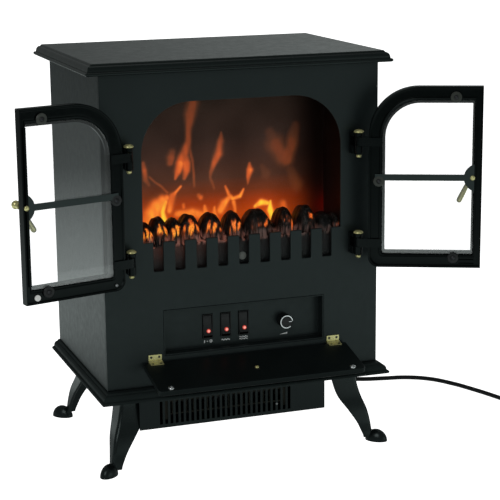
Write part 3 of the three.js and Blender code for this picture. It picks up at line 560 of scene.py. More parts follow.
def edge_moulding():
    """(inset, height) pairs up a moulded edge 15 high: a bead, a quirk, an ovolo and a soft arris."""
    bead = [(2.35 - x, 2.35 + z) for x, z in arc(0, 0, 2.35, -90, 90, 10)]
    ovolo = [(8.3 - 5.1 * x, 6.0 + 6.7 * z) for x, z in arc(0, 0, 1, 0, 90, 10)]
    arris = [(8.5, 13.3), (9.0, 13.9), (9.6, 14.6), (10.2, 14.95), (10.6, 15)]
    return [*bead, (3.0, 4.85), (3.0, 5.75), *ovolo, *arris]


def board(size):
    outlines = []
    for inset, height in edge_moulding():
        back = HALF_DEPTH + size.back - (inset if size.back else 0)
        front = -HALF_DEPTH - size.front + inset
        z = size.low + height * (size.high - size.low) / 15
        rim = rounded(rectangle(BODY_HALF_WIDTH + size.side - inset, front, back), 1.1, 3)
        outlines.append([(x, y, z) for x, y in rim])
    return loft(outlines)


def sheet_with_holes(name, outer, holes, y0, y1, bevel):
    """The mesh of a flat sheet with openings, its edges rounded, standing in the x-z plane."""
    curve = bpy.data.curves.new(name, "CURVE")
    curve.dimensions = "2D"
    curve.fill_mode = "BOTH"
    curve.bevel_depth = bevel * MM
    curve.bevel_resolution = 2
    curve.offset = -bevel * MM
    curve.extrude = ((y1 - y0) / 2 - bevel) * MM
    for outline in (outer, *holes):
        spline = curve.splines.new("POLY")
        spline.points.add(len(outline) - 1)
        for knot, (x, z) in zip(spline.points, outline):
            knot.co = (x * MM, z * MM, 0, 1)
        spline.use_cyclic_u = True
    holder = linked(name, curve)
    mesh = bpy.data.meshes.new_from_object(holder.evaluated_get(bpy.context.evaluated_depsgraph_get()))
    bpy.data.objects.remove(holder)
    for vertex in mesh.vertices:
        x, z, y = vertex.co
        vertex.co = ORIGIN + Vector((x, y + (y0 + y1) / 2 * MM, z))
    finish_mesh(mesh, 38, join=True)
    mesh.name = name
    return mesh


def fire_opening():
    half, radius, low, bottom = ARCH.half, ARCH.radius, ARCH.low, FRET.bottom
    spring, soft, nick = ARCH.high - radius, 1.2, 0.35
    outline = [(half, low), *arc(half - radius, spring, radius, 0, 90, 20)]
    outline += [*arc(radius - half, spring, radius, 90, 180, 20), (-half, low)]
    for k in range(FRET.slots):
        x = (k - (FRET.slots - 1) / 2) * FRET.pitch
        left, right = x - FRET.width / 2, x + FRET.width / 2
        half_slot = [(soft, low), (nick, low - nick), (0, low - soft), (0, bottom + soft), (-soft, bottom)]
        outline += [(left - away, z) for away, z in half_slot]
        outline += [(right + away, z) for away, z in reversed(half_slot)]
    return outline


def screw_head(centre, axis, direction, radius, rise=1.0):
    """A pan head with a rounded crown and a sunk drive; a low rise makes it nearly flush."""
    profile = [(0, 0), (1, 0), (1, 0.25), (0.85, 0.45), (0.55, 0.6), (0.36, 0.62), (0.3, 0.3), (0, 0.25)]
    return turned([(radius * a, radius * b * direction * rise) for a, b in profile], centre, axis, 20)


def add_cabinet():
    piece("top_board_moulded", board(TOP_BOARD), BOARD, "top_board", smooth=30)
    # The base board takes the lighter copy of the board paint: painted light.
    piece("base_board_moulded", board(BASE_BOARD), BASE_BOARD_LIT_PAINT, "base_board", smooth=30)
    outer = rounded(rectangle(BODY_HALF_WIDTH, PANEL.low, PANEL.high), 0.6, 2)
    recess = rounded(rectangle(RECESS.half, RECESS.low, RECESS.high), 1.5, 4)
    sheet = sheet_with_holes("front_sheet", outer, [fire_opening(), recess], PANEL.front, PANEL.back, 0.7)
    dressed("front_sheet", sheet, SATIN, "front_panel")
    for node in ("back_panel", "left_side_panel", "right_side_panel"):
        refined(node, SATIN, 0.25)
    places = [(x, z) for x in (-180, -60, 60, 180) for z in (126, 519)]
    places += [(x, z) for z in (226, 326, 426) for x in (-180, 180)]
    screws = [screw_head((x, HALF_DEPTH + 0.02, z), "y", 1, 3.4) for x, z in places]
    piece("back_panel_screws", merged(*screws), DARK_STEEL)


add_cabinet()

# ---- Legs ----
# Each level is (height, corner x, corner y, wing width), for the front right leg.
LEG_LEVELS = [
    (6, 189.6, 136.4, 15.0), (9, 189, 136, 15), (14, 188, 135, 16), (28, 186, 133.5, 20.5),
    (45, 182.5, 130, 28), (65, 175.5, 123, 34.5), (85, 171, 118.5, 36.5), (101.2, 169.5, 116.5, 37),
]
LEG = Sizes(
    wall=4.5, corner=5.0, foot_x=193.0, foot_y=135.8, long=16.0, wide=10.5, high=16.0, back_shift=7.6)


def between(levels, z):
    """A smooth value at height z from rows of (z, ...)."""
    last = len(levels) - 1
    k = next(k for k in range(last) if levels[k][0] <= z <= levels[k + 1][0] or k == last - 1)
    a, b, c, d = (levels[max(0, min(i, last))] for i in range(k - 1, k + 3))
    span = c[0] - b[0]
    t = (z - b[0]) / span
    row = []
    for i in range(1, len(b)):
        before = (c[i] - a[i]) / (c[0] - a[0]) * span
        after = (d[i] - b[i]) / (d[0] - b[0]) * span
        row.append((2 * t ** 3 - 3 * t ** 2 + 1) * b[i] + (t ** 3 - 2 * t ** 2 + t) * before
                   + (3 * t ** 2 - 2 * t ** 3) * c[i] + (t ** 3 - t ** 2) * after)
    return row


def leg_outline(z):
    x, y, wing = between(LEG_LEVELS, z)
    wall, r, soft, nick = LEG.wall, LEG.corner, 1.5, 0.45
    local = [(-wing, soft), (-wing + nick, nick), (-wing + soft, 0), *arc(-r, r, r, -90, 0, 8)]
    local += [(0, wing - soft), (-nick, wing - nick), (-soft, wing)]
    local += [(-wall + soft, wing), (-wall + nick, wing - nick), (-wall, wing - soft)]
    local += arc(-wall - 2, wall + 2, 2, 0, -90, 4)
    local += [(-wing + soft, wall), (-wing + nick, wall - nick), (-wing, wall - soft)]
    return [(x + dx, dy - y, z) for dx, dy in local]


def leg_geometry():
    low, high = LEG_LEVELS[0][0], LEG_LEVELS[-1][0]
    shaft = loft([leg_outline(low + (high - low) * i / 40) for i in range(41)])
    foot = []
    for k, (spread, rise) in enumerate(arc(0, 0, 1, 0, 90, 14)):
        spread = spread if k < 14 else 0.02
        ring = []
        for across, down in arc(0, 0, spread, 0, 360, 40)[:-1]:
            u, v = LEG.long * across, LEG.wide * down
            ring.append((LEG.foot_x + (u + v) * math.sqrt(0.5), -LEG.foot_y - (u - v) * math.sqrt(0.5),
                         LEG.high * rise))
        foot.append(ring)
    return merged(shaft, loft(foot))


def add_legs():
    geometry = leg_geometry()
    for row, back in (("front", False), ("back", True)):
        for side, sign in reversed(SIGNS.items()):
            def place(x, y, z, sign=sign, back=back):
                return at(x * sign, -y - LEG.back_shift if back else y, z)
            name = f"{row}_{side}_leg"
            piece(f"{name}_cast", geometry, CASTING, name, place=place)


add_legs()

# ---- Controls ----
PLATE_Y = -120.0
SWITCH_X = [-47.6, -22.2, 3.2]
SWITCH_Z = 186.0
ROCKER = Sizes(tilt=math.radians(-8), half=5.9, lens=(0.7, -7.1, -7.6))
KNOB = Sizes(x=60.4, z=184.2, near=-122.2, far=-133.7)
MARK = Sizes(y0=PLATE_Y - 0.12, y1=PLATE_Y + 0.02, z=165.0, bevel=0.03)


def rocker_geometry():
    """A rocker with a hollowed face and soft ends, drawn round its pivot."""
    heights = [-13.4 + 26.8 * i / 24 for i in range(25)]
    side = [(-6.7 - 1.6 * (z / 13.4) ** 2, z) for z in heights]
    side += [(-7.3, 14.1), (-4.0, 14.7), (2.4, 14.4), (2.4, -14.4), (-4.0, -14.7), (-7.3, -14.1)]
    edge = [(-ROCKER.half, 0.5), (-ROCKER.half + 0.15, 0.2), (-ROCKER.half + 0.5, 0)]
    levels = edge + [(-x, inset) for x, inset in reversed(edge)]
    return loft([[(x, y - math.copysign(inset, y), z * (1 - inset / 15)) for y, z in side]
                 for x, inset in levels])


def tilted(x):
    cos, sin = math.cos(ROCKER.tilt), math.sin(ROCKER.tilt)

    def place(dx, y, z):
        return at(x + dx, PLATE_Y + 6 + y * cos - z * sin, SWITCH_Z + y * sin + z * cos)
    return place


def arc_band(cx, cz, radius, width, start, end, y0, y1, steps):
    """A flat band along an arc, for printed marks and trim rings."""
    rims = [arc(cx, cz, radius + side * width / 2, start, end, steps) for side in (-1, 1)]
    return loft([[(a, y0, b), (c, y0, d), (c, y1, d), (a, y1, b)] for (a, b), (c, d) in zip(*rims)])


def wave(cx, cz, length, stroke, steps=36):
    """One long wavy printed stroke of three humps."""
    outlines = []
    for i in range(steps + 1):
        x = cx + length * (i / steps - 0.5)
        z = cz + 0.55 * math.sin(6 * math.pi * i / steps)
        low, high, y0, y1 = z - stroke / 2, z + stroke / 2, MARK.y0, MARK.y1
        outlines.append([(x, y0, low), (x, y0, high), (x, y1, high), (x, y1, low)])
    return loft(outlines)


def add_marks():
    """Plain printed symbols: on and off, low and high heat, and a dimming wedge."""
    y0, y1, z, bevel = MARK.y0, MARK.y1, MARK.z, MARK.bevel
    first, second, third = SWITCH_X
    bar = block(first - 5.4, first - 3.9, y0, y1, z - 2.0, z + 2.0, bevel)
    dash = block(first - 1.6, first + 0.6, y0, y1, z - 0.7, z + 0.7, bevel)
    ring = arc_band(first + 4.4, z, 1.5, 1.3, 0, 359.9, y0, y1, 28)
    corners = [(KNOB.x - 6, z - 1.3), (KNOB.x + 6, z - 1.3), (KNOB.x + 6, z + 1.3)]
    marks = [bar, dash, ring, slab(corners, y0, y1, bevel, 0.05, 1), wave(second, z, 12, 1.5)]
    marks += [wave(third, z + rise, 12, 1.2) for rise in (-1.4, 1.4)]
    piece("printed_marks", merged(*marks), LEGEND, smooth=60)


def add_rockers():
    cap = rocker_geometry()
    lens = [(0, 0.6), (2.9, 0.6), (2.9, -0.15), (2.6, -0.6), (1.9, -1.0), (0, -1.0)]
    # The lighter dome in the middle of each lens is a painted highlight.
    core = [(0, -0.7), (1.8, -0.7), (1.75, -1.15), (1.1, -1.5), (0, -1.6)]
    for k, x in enumerate(SWITCH_X):
        name = f"rocker_{k + 1}"
        piece(f"{name}_cap", cap, PLASTIC, name, place=tilted(x))
        piece(f"{name}_lens", turned(lens, ROCKER.lens, sides=24), RED_LENS, None, name, tilted(x))
        piece(f"{name}_lens_highlight", turned(core, ROCKER.lens, sides=24), RED_LENS_HIGHLIGHT, None, name, tilted(x))


def add_dimmer():
    near, far, x, z = KNOB.near, KNOB.far, KNOB.x, KNOB.z
    profile = [(0, far + 0.5), (5.6, far + 0.5), (6.0, far), (8.0, far), (8.9, far + 0.7),
               (9.15, far + 2.2), (9.15, near - 3.2), (9.3, near - 2.6), (9.3, near - 0.4), (8.9, near),
               (2.9, near), (2.9, -112), (0, -112)]

    def flutes(angle, radius):
        return 1 + (0.035 * math.cos(24 * angle) if radius > 8.6 else 0)

    piece("dimmer_knob_fluted", turned(profile, (x, 0, z), "y", 144, flutes), PLASTIC, "dimmer_knob")
    ring = arc_band(x, z, 8.4, 1.1, 8, 310, far - 0.25, far + 0.6, 60)
    pointer = block(x + 3.2, x + 7.6, far - 0.3, far + 0.9, z - 0.6, z + 0.6, 0.15)
    piece("dimmer_knob_trim", merged(ring, pointer), CHROME, body="dimmer")
    coat_node("dimmer_body", STEEL)


refined("control_tray", SATIN)
refined("switch_bank", PLASTIC)
add_rockers()
add_dimmer()
add_marks()

# ---- Fan heater ----
refined("outlet_apron", SATIN, 0.25)
# The blower's housing, motor and rotor take the dark steel so that they read as the shade inside the apron:
# painted shade.
refined("blower_housing", DARK_STEEL, 0.25)
refined("blower_motor", DARK_STEEL, 0.25)
refined("heating_element", HEATER, 0.15)
coat_node("blower_rotor", DARK_STEEL)
piece("grille_screw", screw_head((47.4, -128.02, 68.4), "y", -1, 1.7), STEEL)

# ---- Flame screen ----
# A tongue of flame is a row of (x, z, half-width, heat), from its tip down.
TONGUES = [
    [(-44, 486, 6, 0.3), (-45, 478, 7, 0.38), (-49, 463, 7, 0.42), (-51, 445, 4.2, 0.44),
     (-53, 427, 4, 0.5), (-57, 413, 6, 0.6), (-61, 403, 8, 0.68)],
    [(-62, 406, 6, 0.6), (-64, 398, 7, 0.82), (-67, 388, 5, 0.82), (-72, 378, 1.8, 0.6)],
    [(-57, 406, 6, 0.6), (-56, 398, 6.2, 0.78), (-56, 389, 5.4, 0.74), (-59, 378, 2.6, 0.6)],
    [(-52, 424, 1.6, 0.3), (-47, 402, 1.8, 0.42), (-45, 381, 1.8, 0.42), (-45, 366, 1.5, 0.3)],
    [(-75, 414, 4.5, 0.34), (-77, 407, 5.5, 0.48), (-78, 400, 4, 0.44)],
    [(-6, 437, 1.2, 0.3), (-7, 424, 4.4, 0.48), (-10, 408, 5.6, 0.66), (-16, 396, 3.8, 0.62),
     (-21, 384, 2.6, 0.5), (-22, 377, 1.6, 0.4), (-17, 361, 1.5, 0.32)],
    [(35, 392, 1.8, 0.6), (35, 383, 4.4, 0.86), (33, 375, 3, 0.8), (32, 364, 1.2, 0.5)],
    [(64, 432, 6, 0.16), (72, 415, 12, 0.34), (84, 397, 10, 0.4)],
    [(101, 440, 5, 0.12), (96, 418, 8, 0.32), (88, 393, 8, 0.4)],
    [(93, 380, 5, 0.16), (103, 358, 8, 0.28)],
    [(52, 387, 3, 0.12), (58, 376, 6, 0.2)],
    [(-1, 363, 1.5, 0.75), (4, 351, 2.5, 0.9), (10, 345, 2.8, 1), (20, 348, 3, 1.04), (25, 357, 1.7, 0.85)],
    [(6, 348, 3.4, 0.95), (-3, 340, 5.6, 0.98), (-8, 330, 5, 0.98)],
    [(11, 341, 2.7, 0.9), (13, 327, 2.4, 0.8)],
    [(-84, 353, 5, 0.85), (-90, 349, 8.5, 1), (-97, 341, 12, 1.02), (-104, 332, 12, 0.98),
     (-106, 320, 14, 0.92), (-108, 306, 14, 0.85)],
    [(-86, 348, 3.6, 1.05), (-90, 334, 3.6, 1.28), (-88, 320, 4.2, 1.3), (-89, 300, 4.6, 1.2)],
    [(-64, 367, 2, 0.8), (-72, 360, 2.2, 0.85), (-76, 355, 4.6, 0.75), (-79, 345, 5.6, 0.78),
     (-80, 336, 5, 0.9)],
    [(-108, 383, 1.5, 0.36), (-89, 367, 1.5, 0.42), (-82, 360, 1.5, 0.5)],
    [(-39, 353, 3, 0.55), (-36, 350, 3.6, 0.72)],
    [(-61, 342, 2.2, 0.7), (-61, 338, 2.2, 0.75)],
    [(-115, 402, 2.6, 0.4), (-114, 392, 3.8, 0.62), (-113, 380, 3, 0.45), (-108, 372, 2, 0.3)],
    [(42, 332, 2.8, 1.1), (51, 337, 4.8, 1.25), (60, 335, 3.2, 1.25)],
    [(64, 337, 2.4, 1.2), (64, 325, 5.4, 1.32), (66, 309, 2.8, 1.1)],
    [(-30, 338, 2, 0.8), (-29, 326, 5, 0.95), (-30, 308, 6, 0.95)],
    [(-17, 335, 2, 0.8), (-17, 322, 5, 0.95), (-16, 308, 6, 0.95)],
    [(-68, 330, 5, 0.9), (-48, 330, 6.5, 0.93), (-36, 326, 6, 0.9)],
    [(82, 333, 5, 0.7), (84, 318, 6, 0.8)],
]
# The glass side of the screen: (height, light in red, green, blue) from the top down.
SCREEN_GLOW = [
    (500, (0.016, 0.01, 0.008)), (478, (0.019, 0.012, 0.009)), (430, (0.03, 0.017, 0.013)),
    (402, (0.044, 0.021, 0.015)), (375, (0.07, 0.027, 0.016)), (357, (0.15, 0.032, 0.011)),
    (341, (0.34, 0.04, 0.006)), (325, (0.52, 0.062, 0.005)), (262, (0.5, 0.055, 0.004)),
]
# How much of its red, green and blue the picture loses towards its right end.
SCREEN_FADE = (0.965, 0.985, 0.99)
FLAME_COLOURS = [
    (0, (0, 0, 0)), (0.25, (0.055, 0.014, 0.004)), (0.5, (0.22, 0.038, 0.008)),
    (0.75, (0.62, 0.088, 0.012)), (0.95, (0.95, 0.2, 0.025)), (1.1, (1, 0.36, 0.03)),
    (1.3, (1.1, 0.66, 0.04)),
]


def ramp(table, value):
    """The colour at a value between the rows of a table, which may run up or down."""
    if (value - table[0][0]) * (table[-1][0] - table[0][0]) <= 0:
        return table[0][1]
    for (a, low), (b, high) in zip(table, table[1:]):
        if (value - a) * (value - b) <= 0:
            t = (value - a) / (b - a)
            return tuple(p + (q - p) * t for p, q in zip(low, high))
    return table[-1][1]


def tongue_heat(x, z, spine):
    """How hot a place is made by a tongue: full along its middle, half at its half-width."""
    best = 0.0
    for (ax, az, aw, ah), (bx, bz, bw, bh) in zip(spine, spine[1:]):
        reach = 2.2 * max(aw, bw)
        if abs(2 * x - ax - bx) > abs(ax - bx) + 2 * reach or abs(2 * z - az - bz) > abs(az - bz) + 2 * reach:
            continue
        dx, dz = bx - ax, bz - az
        t = min(1.0, max(0.0, ((x - ax) * dx + (z - az) * dz) / (dx * dx + dz * dz)))
        away = math.hypot(x - ax - dx * t, z - az - dz * t) / (aw + (bw - aw) * t)
        best = max(best, (ah + (bh - ah) * t) * math.exp(-0.62 * away ** 3.2))
    return best


def screen_light(x, z):
    """The light at a place of the flame picture: haze that grows hotter downwards, then tongues."""
    warp = 1.5 * noise.noise(Vector((x / 13, z / 19, 3)))
    haze = noise.noise(Vector((x / 38, z / 30, 5)))
    fade = eased((x - 58) / 76)
    light = [c * (1 - dark * fade) * (1 + 0.3 * haze) for c, dark in zip(ramp(SCREEN_GLOW, z), SCREEN_FADE)]
    flicker = 1 + 0.16 * noise.noise(Vector((x / 6, z / 15, 11)))
    flame = ramp(FLAME_COLOURS, flicker * max(tongue_heat(x + warp, z, spine) for spine in TONGUES))
    red_corner = 0.05 * math.exp(-((x - 150) / 16) ** 2 - ((z - 327) / 12) ** 2)
    mixed = [a + b * (1 - min(1, a)) for a, b in zip(light, flame)]
    return (mixed[0] + red_corner, mixed[1], mixed[2])


def paint_points(obj, name, colours):
    layer = obj.data.color_attributes.new(name, "FLOAT_COLOR", "POINT")
    layer.data.foreach_set("color", [value for colour in colours for value in (*colour, 1.0)])


def add_flame_screen(pitch=1.25):
    """A plate whose front is a fine grid of lit points; its back is one face on the grid's rim."""
    (x0, y0, z0), (x1, y1, z1) = ((Vector(corner) - ORIGIN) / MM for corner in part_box("flame_screen"))
    columns, rows = int((x1 - x0) / pitch), int((z1 - z0) / pitch)
    row, top = columns + 1, rows * (columns + 1)
    points = [(x0 + (x1 - x0) * i / columns, y0, z0 + (z1 - z0) * j / rows)
              for j in range(rows + 1) for i in range(row)]
    faces = [(k, k + 1, k + 1 + row, k + row) for k in range(top) if k % row < columns]
    rim = [*range(columns), *range(columns, top + columns, row)]
    rim += [*range(top + columns, top, -1), *range(top, 0, -row)]
    back = [len(points) + k for k in range(len(rim))]
    points += [(points[k][0], y1, points[k][2]) for k in rim]
    faces += [*zip(rim, rim[1:] + rim[:1], back[1:] + back[:1], back), tuple(back)]
    screen = piece("flame_picture_screen", (points, faces), FLAMES, "flame_screen")
    paint_points(screen, "light", [screen_light(x, z) for x, _, z in points])
    paint_points(screen, "tint", [(0.02, 0.012, 0.01)] * len(points))


# ---- Ember bed ----
# Each coal is (x, half-width, top, how strongly it glows).
COAL_ROW = [
    (-128, 12, 330, 1.0), (-108.7, 13, 336.5, 1.0), (-88.2, 11, 333.5, 0.95), (-67.4, 16, 337, 0.9),
    (-36.8, 16.5, 336.5, 0.75), (-5.9, 13.5, 336.5, 0.62), (28.2, 21, 337, 0.26), (66.9, 13, 336, 0.46),
    (97.3, 15, 337, 0.26), (124, 15, 325, 0.14), (139, 8, 323, 0.0),
]
BED = Sizes(front=-127.5, crest=-105.0, back=-66.0, skirt=265.0, edge=303.0, foot=305.0, top=337.8)


def coal_surface(x, y):
    """Height of the bed, then the nearest coal's share across, share up and glow."""
    rise = eased((y - BED.front) / 26)
    height = BED.edge + 9 * rise + 4.6 * noise.noise(Vector((x / 7, y / 9, 0)))
    centre, half, top, glow = min(COAL_ROW, key=lambda coal: abs(x - coal[0]) / coal[1])
    for middle, width, crest, _ in COAL_ROW:
        lean = 1.5 * noise.noise(Vector((middle, y / 8, 4)))
        depth = 21.0 if y < BED.crest else 34.0
        across = (x - middle + lean) / width
        swell = 1 - abs(across) ** 2.3 - abs((y - BED.crest) / depth) ** 2.2
        if swell > 0:
            rib = 0.9 * math.cos(across * 9 + middle) * (1 - abs(across))
            height = max(height, BED.foot + (crest - BED.foot) * swell ** 0.55 + rib)
    return height, (x - centre) / half, (height - BED.foot) / (top - BED.foot), glow


def coal_colours(x, y, z, across, up, glow):
    """Light and tint of a coal: a charred arch and ribs round a glowing heart, ash low down."""
    patch = noise.noise(Vector((x / 5.0, y / 6, z / 5.0)))
    fine = noise.noise(Vector((x / 1.8, y / 1.8, z / 1.8)))
    broad = noise.noise(Vector((x / 12, z / 12, 7)))
    radius = math.hypot(across, up) + 0.22 * patch
    rim = eased((radius - 0.74) / 0.10)
    rib = eased((math.cos(5.5 * math.atan2(across, up) + x / 8 + 3.5 * broad) - 0.15 + 0.6 * fine) / 0.5)
    crest = eased((y + 109.5 + 3 * patch) / 3.5)
    # Low on each coal the glow dies away: a painted shadow band above the ash.
    heart = (1 - max(rim, 0.97 * rib, crest)) * eased((up - 0.24 + 0.25 * patch) / 0.16)
    heart *= eased((glow + 0.9 * broad + 0.5 * patch - 0.20) / 0.42)
    light = ramp(FLAME_COLOURS, (0.80 + 0.30 * glow * (1 - radius) + 0.12 * glow + 0.14 * fine) * heart)
    ash = eased((314 - z + 5 * broad) / 5) * eased((patch + 0.45 * fine + 0.15) / 0.25)
    light = [a * (1 - 0.75 * ash) + ash * glow * b for a, b in zip(light, (0.17, 0.05, 0.032))]
    chip = eased((fine + 0.8 * patch - 0.25) / 0.3) * (1 - crest)
    grey = 0.003 + (0.07 - 0.04 * glow) * chip + 0.20 * ash
    return light, (grey * 1.08, grey, grey * 0.95)


def skirt_light(x, z):
    """Glow that leaks down the bed's front edge, seen through the fret."""
    strength = eased((z - 272) / 36) * (1 - 0.93 * eased((x + 110) / 110))
    return tuple(strength * c for c in (0.034, 0.010, 0.006))


def bed_column(x, rows=54):
    """(point, light, tint) round the bed's section at x: up its skirt, over the coals and back beneath."""
    column = []
    for z in (BED.skirt, 280, 292, 299):
        ripple = 0.6 * noise.noise(Vector((x / 12, z / 9, 2)))
        column.append(((x, BED.front + 1.2 + ripple, z), skirt_light(x, z), (0.017, 0.022, 0.024)))
    skirt = len(column)
    for j in range(rows + 1):
        y = BED.front + (BED.back - BED.front) * (j / rows) ** 1.15
        z, across, up, glow = coal_surface(x, y)
        z = min(z + 0.8 * noise.noise(Vector((x / 2.3, y / 2.3, 1))), BED.top)
        column.append(((x, y, z), *coal_colours(x, y, z, across, up, glow)))
    shifts = [Vector((0, 1.5, 0))] * skirt + [Vector((0, 0.4, -1.5))] * (rows + 1)
    inside = [Vector(point) + shift for (point, _, _), shift in zip(column, shifts)]
    return column + [(point, (0, 0, 0), (0.02, 0.02, 0.02)) for point in reversed(inside)]


def add_ember_bed(columns=300):
    low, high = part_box("ember_bed")
    half = (high[0] - low[0]) / 2 / MM
    bed_columns = [bed_column(-half + 2 * half * i / columns) for i in range(columns + 1)]
    geometry = loft([[point for point, _, _ in column] for column in bed_columns])
    bed = piece("ember_bed_coals", geometry, COALS, "ember_bed", smooth=70)
    # A pale stud on the skirt behind the middle fret slot; its pale colour is a painted reflection.
    stud = [(0, 0), (5.6, 0), (5.4, -0.5), (4.2, -1.0), (2.0, -1.35), (0, -1.4)]
    piece("ember_bed_stud", turned(stud, (0.4, BED.front + 1, 280)), STUD_GLINT_GREY)
    paint_points(bed, "light", [light for column in bed_columns for _, light, _ in column])
    paint_points(bed, "tint", [tint for column in bed_columns for _, _, tint in column])


# The lining's red tint is painted flame glow.
refined("firebox_shell", FIREBOX_GLOW_BLACK, 0.2)
coat_node("front_screen", SCREEN_GLASS)
add_flame_screen()
add_ember_bed()
for inner_node in ("flame_spindle", "spindle_motor", "lamp_holder"):
    coat_node(inner_node, STEEL)
coat_node("flame_lamp", LAMP)

# ---- Doors ----
# A door is drawn about its hinge axis: u runs from the axis to the meeting stile, o inwards.
DOOR = Sizes(
    axis_y=-152.4, hinge_edge=13.2, bottom=258.0, top=501.7, hinge_stile=22.0, top_rail=22.4,
    bottom_rail=23.3, arch=66.0, corner=14.0, inner=8.6,
)
DOOR_SIDES = {
    "left": Sizes(axis_x=-159.1, meet_edge=153.4, meet_stile=8.3, open=-165.5, lean=30.0, clip_shift=0,
                  clips=(GREY_TRIM, PLASTIC, PLASTIC)),
    "right": Sizes(axis_x=156.8, meet_edge=162.7, meet_stile=13.3, open=155.1, lean=25.8, clip_shift=2.3,
                   clips=(GREY_TRIM, GREY_TRIM, PLASTIC)),
}
CLIP_PLACES = [(124.8, 487.4), (24.6, 375.3), (123.8, 272.2)]
HANDLE = Sizes(u=150.2, z=380.7, lever_o=-10.3)
MUNTIN = Sizes(z=380.7, start=22.0, half=4.2, near=8.9, far=10.1, centre=157.3, radius=18.6)
# The rail's section: (share of its width from the outside in, depth o).
RAIL_SECTION = [
    (0, 7.4), (0, -2.2), (0.03, -4.6), (0.09, -6), (0.16, -6.4), (0.6, -6.4), (0.66, -6), (0.72, -5),
    (0.98, 0.2), (1, 1), (1, 4.8), (0.97, 5.2), (0.83, 5.2), (0.8, 5.6), (0.8, 7.4), (0.77, 8.3),
    (0.72, 8.6), (0.67, 8.3), (0.63, 7.2), (0.58, 6.9), (0.2, 6.9), (0.16, 7.2), (0.13, 8.2), (0.09, 8.6),
    (0.05, 8.5), (0.01, 8),
]


def door_place(side):
    sizes = DOOR_SIDES[side]
    cos, sin = math.cos(math.radians(sizes.open)), math.sin(math.radians(sizes.open))

    def place(u, o, z):
        u = -SIGNS[side] * u
        return at(sizes.axis_x + u * cos - o * sin, DOOR.axis_y + u * sin + o * cos, z)
    return place


def door_outline(side, share, o):
    left = DOOR.hinge_edge + DOOR.hinge_stile * share
    right = DOOR_SIDES[side].meet_edge - DOOR_SIDES[side].meet_stile * share
    top = DOOR.top - DOOR.top_rail * share
    bottom = DOOR.bottom + DOOR.bottom_rail * share
    arch = DOOR.arch - 20 * share
    corner = DOOR.corner + (1.5 - DOOR.corner) * share
    outline = [(right, bottom), (right, top), *arc(left + arch, top - arch, arch, 90, 180, 28)]
    outline += arc(left + corner, bottom + corner, corner, 180, 270, 10)
    return [(u, o, z) for u, z in outline]


def handle_geometry(lean):
    """A domed spindle head inside the door; a hub, a tapering lever and a round knob outside."""
    u, z, near, base = HANDLE.u, HANDLE.z, HANDLE.lever_o, DOOR.inner
    head = [(0, 0), (2.2, 0), (2.2, 1.8), (3.3, 1.8), (3.4, 2.4), (2.9, 3.4), (1.8, 4.0), (0, 4.2)]
    hub = [(0, 3.1), (3.8, 3.1), (4.3, 2.4), (4.3, -2.4), (3.4, -3.4), (2.4, -3.9), (2.6, -4.4),
           (4.4, -5.4), (5.4, -7.2), (5.6, -8.8), (5.0, -10.8), (3.4, -12.2), (1.6, -12.9), (0, -13)]
    steps = [0, 6, 14, 22, 32, 37, 39, 40.4, 40.9]
    radii = [2.6, 2.6, 2.9, 3.3, 3.6, 3.6, 3.2, 2.0, 0.4]
    lever = swept([(u - s * math.sin(lean), near, z - s * math.cos(lean)) for s in steps], radii, 20)
    return merged(turned(head, (u, base, z), sides=28), turned(hub, (u, near, z)), lever)


def muntin_geometry(edge):
    """The cross bar with its part-round end plate, cut off at the edge of the meeting stile."""
    z, start, half, radius, centre = MUNTIN.z, MUNTIN.start, MUNTIN.half, MUNTIN.radius, MUNTIN.centre
    meet = math.degrees(math.asin(half / radius))
    cut = math.degrees(math.acos((centre - edge - 1) / radius))
    upper = arc(centre, z, radius, 180 - meet, 180 - cut, 16)
    lower = [(u, 2 * z - v) for u, v in reversed(upper)]
    outline = [(start, z + half), *upper, *lower, (start, z - half)]
    return loft([[(u, o, v) for u, v in outline] for o in (MUNTIN.near, MUNTIN.far)])


def glazing_bead(edge):
    """A rounded bead along the meeting stile that the end plate butts against."""
    section = [(0.1, 6.8), (0.1, 9.8), (0.6, 10.4), (1.6, 10.5), (2.5, 10.1), (3.1, 9.3), (3.2, 6.8)]
    return loft([[(edge + u, o, z) for u, o in section] for z in (281.6, 479.0)])


def add_clips(side, body, place):
    """Round glass clips, each under a screw."""
    profile = [(0, 0), (7.4, 0), (7.4, 1.0), (6.7, 1.7), (3.4, 1.9), (2.9, 1.4), (0, 1.4)]
    for k, ((u, z), tone) in enumerate(zip(CLIP_PLACES, DOOR_SIDES[side].clips)):
        u += DOOR_SIDES[side].clip_shift
        name = f"{side}_glass_clip_{k + 1}"
        piece(name, turned(profile, (u, DOOR.inner, z)), tone, None, body, place)
        screw = screw_head((u, DOOR.inner + 1.3, z), "y", 1, 2.9)
        piece(f"{name}_screw", screw, DARK_STEEL, None, body, place)


def add_door(side):
    place, body, sizes = door_place(side), f"{side}_door", DOOR_SIDES[side]
    rails = loft([door_outline(side, share, o) for share, o in RAIL_SECTION], closed=True)
    piece(f"{side}_door_rails", rails, GLOSS, f"{side}_door_frame", place=place, smooth=28)
    coat_node(f"{side}_door_glass", PANE)
    edge = sizes.meet_edge - 0.8 * sizes.meet_stile
    piece(f"{side}_muntin", muntin_geometry(edge), BAR, f"{side}_door_muntin", place=place)
    piece(f"{side}_glazing_bead", glazing_bead(edge), GLOSS, None, body, place)
    handle = handle_geometry(math.radians(sizes.lean))
    piece(f"{side}_lever_handle", handle, BRASS, f"{side}_door_handle", place=place)
    add_clips(side, body, place)
    for level in ("upper", "lower"):
        refined(f"{side}_{level}_hinge_strap", HINGE)
        add_bracket(side, level)
        add_hinge_pin(side, level)


def hinge_axis(side, level):
    """Where a hinge pin stands, and the height of its shoulder."""
    low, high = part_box(f"{side}_{level}_hinge_pin")
    return DOOR_SIDES[side].axis_x, DOOR.axis_y, high[2] / MM - 1.2


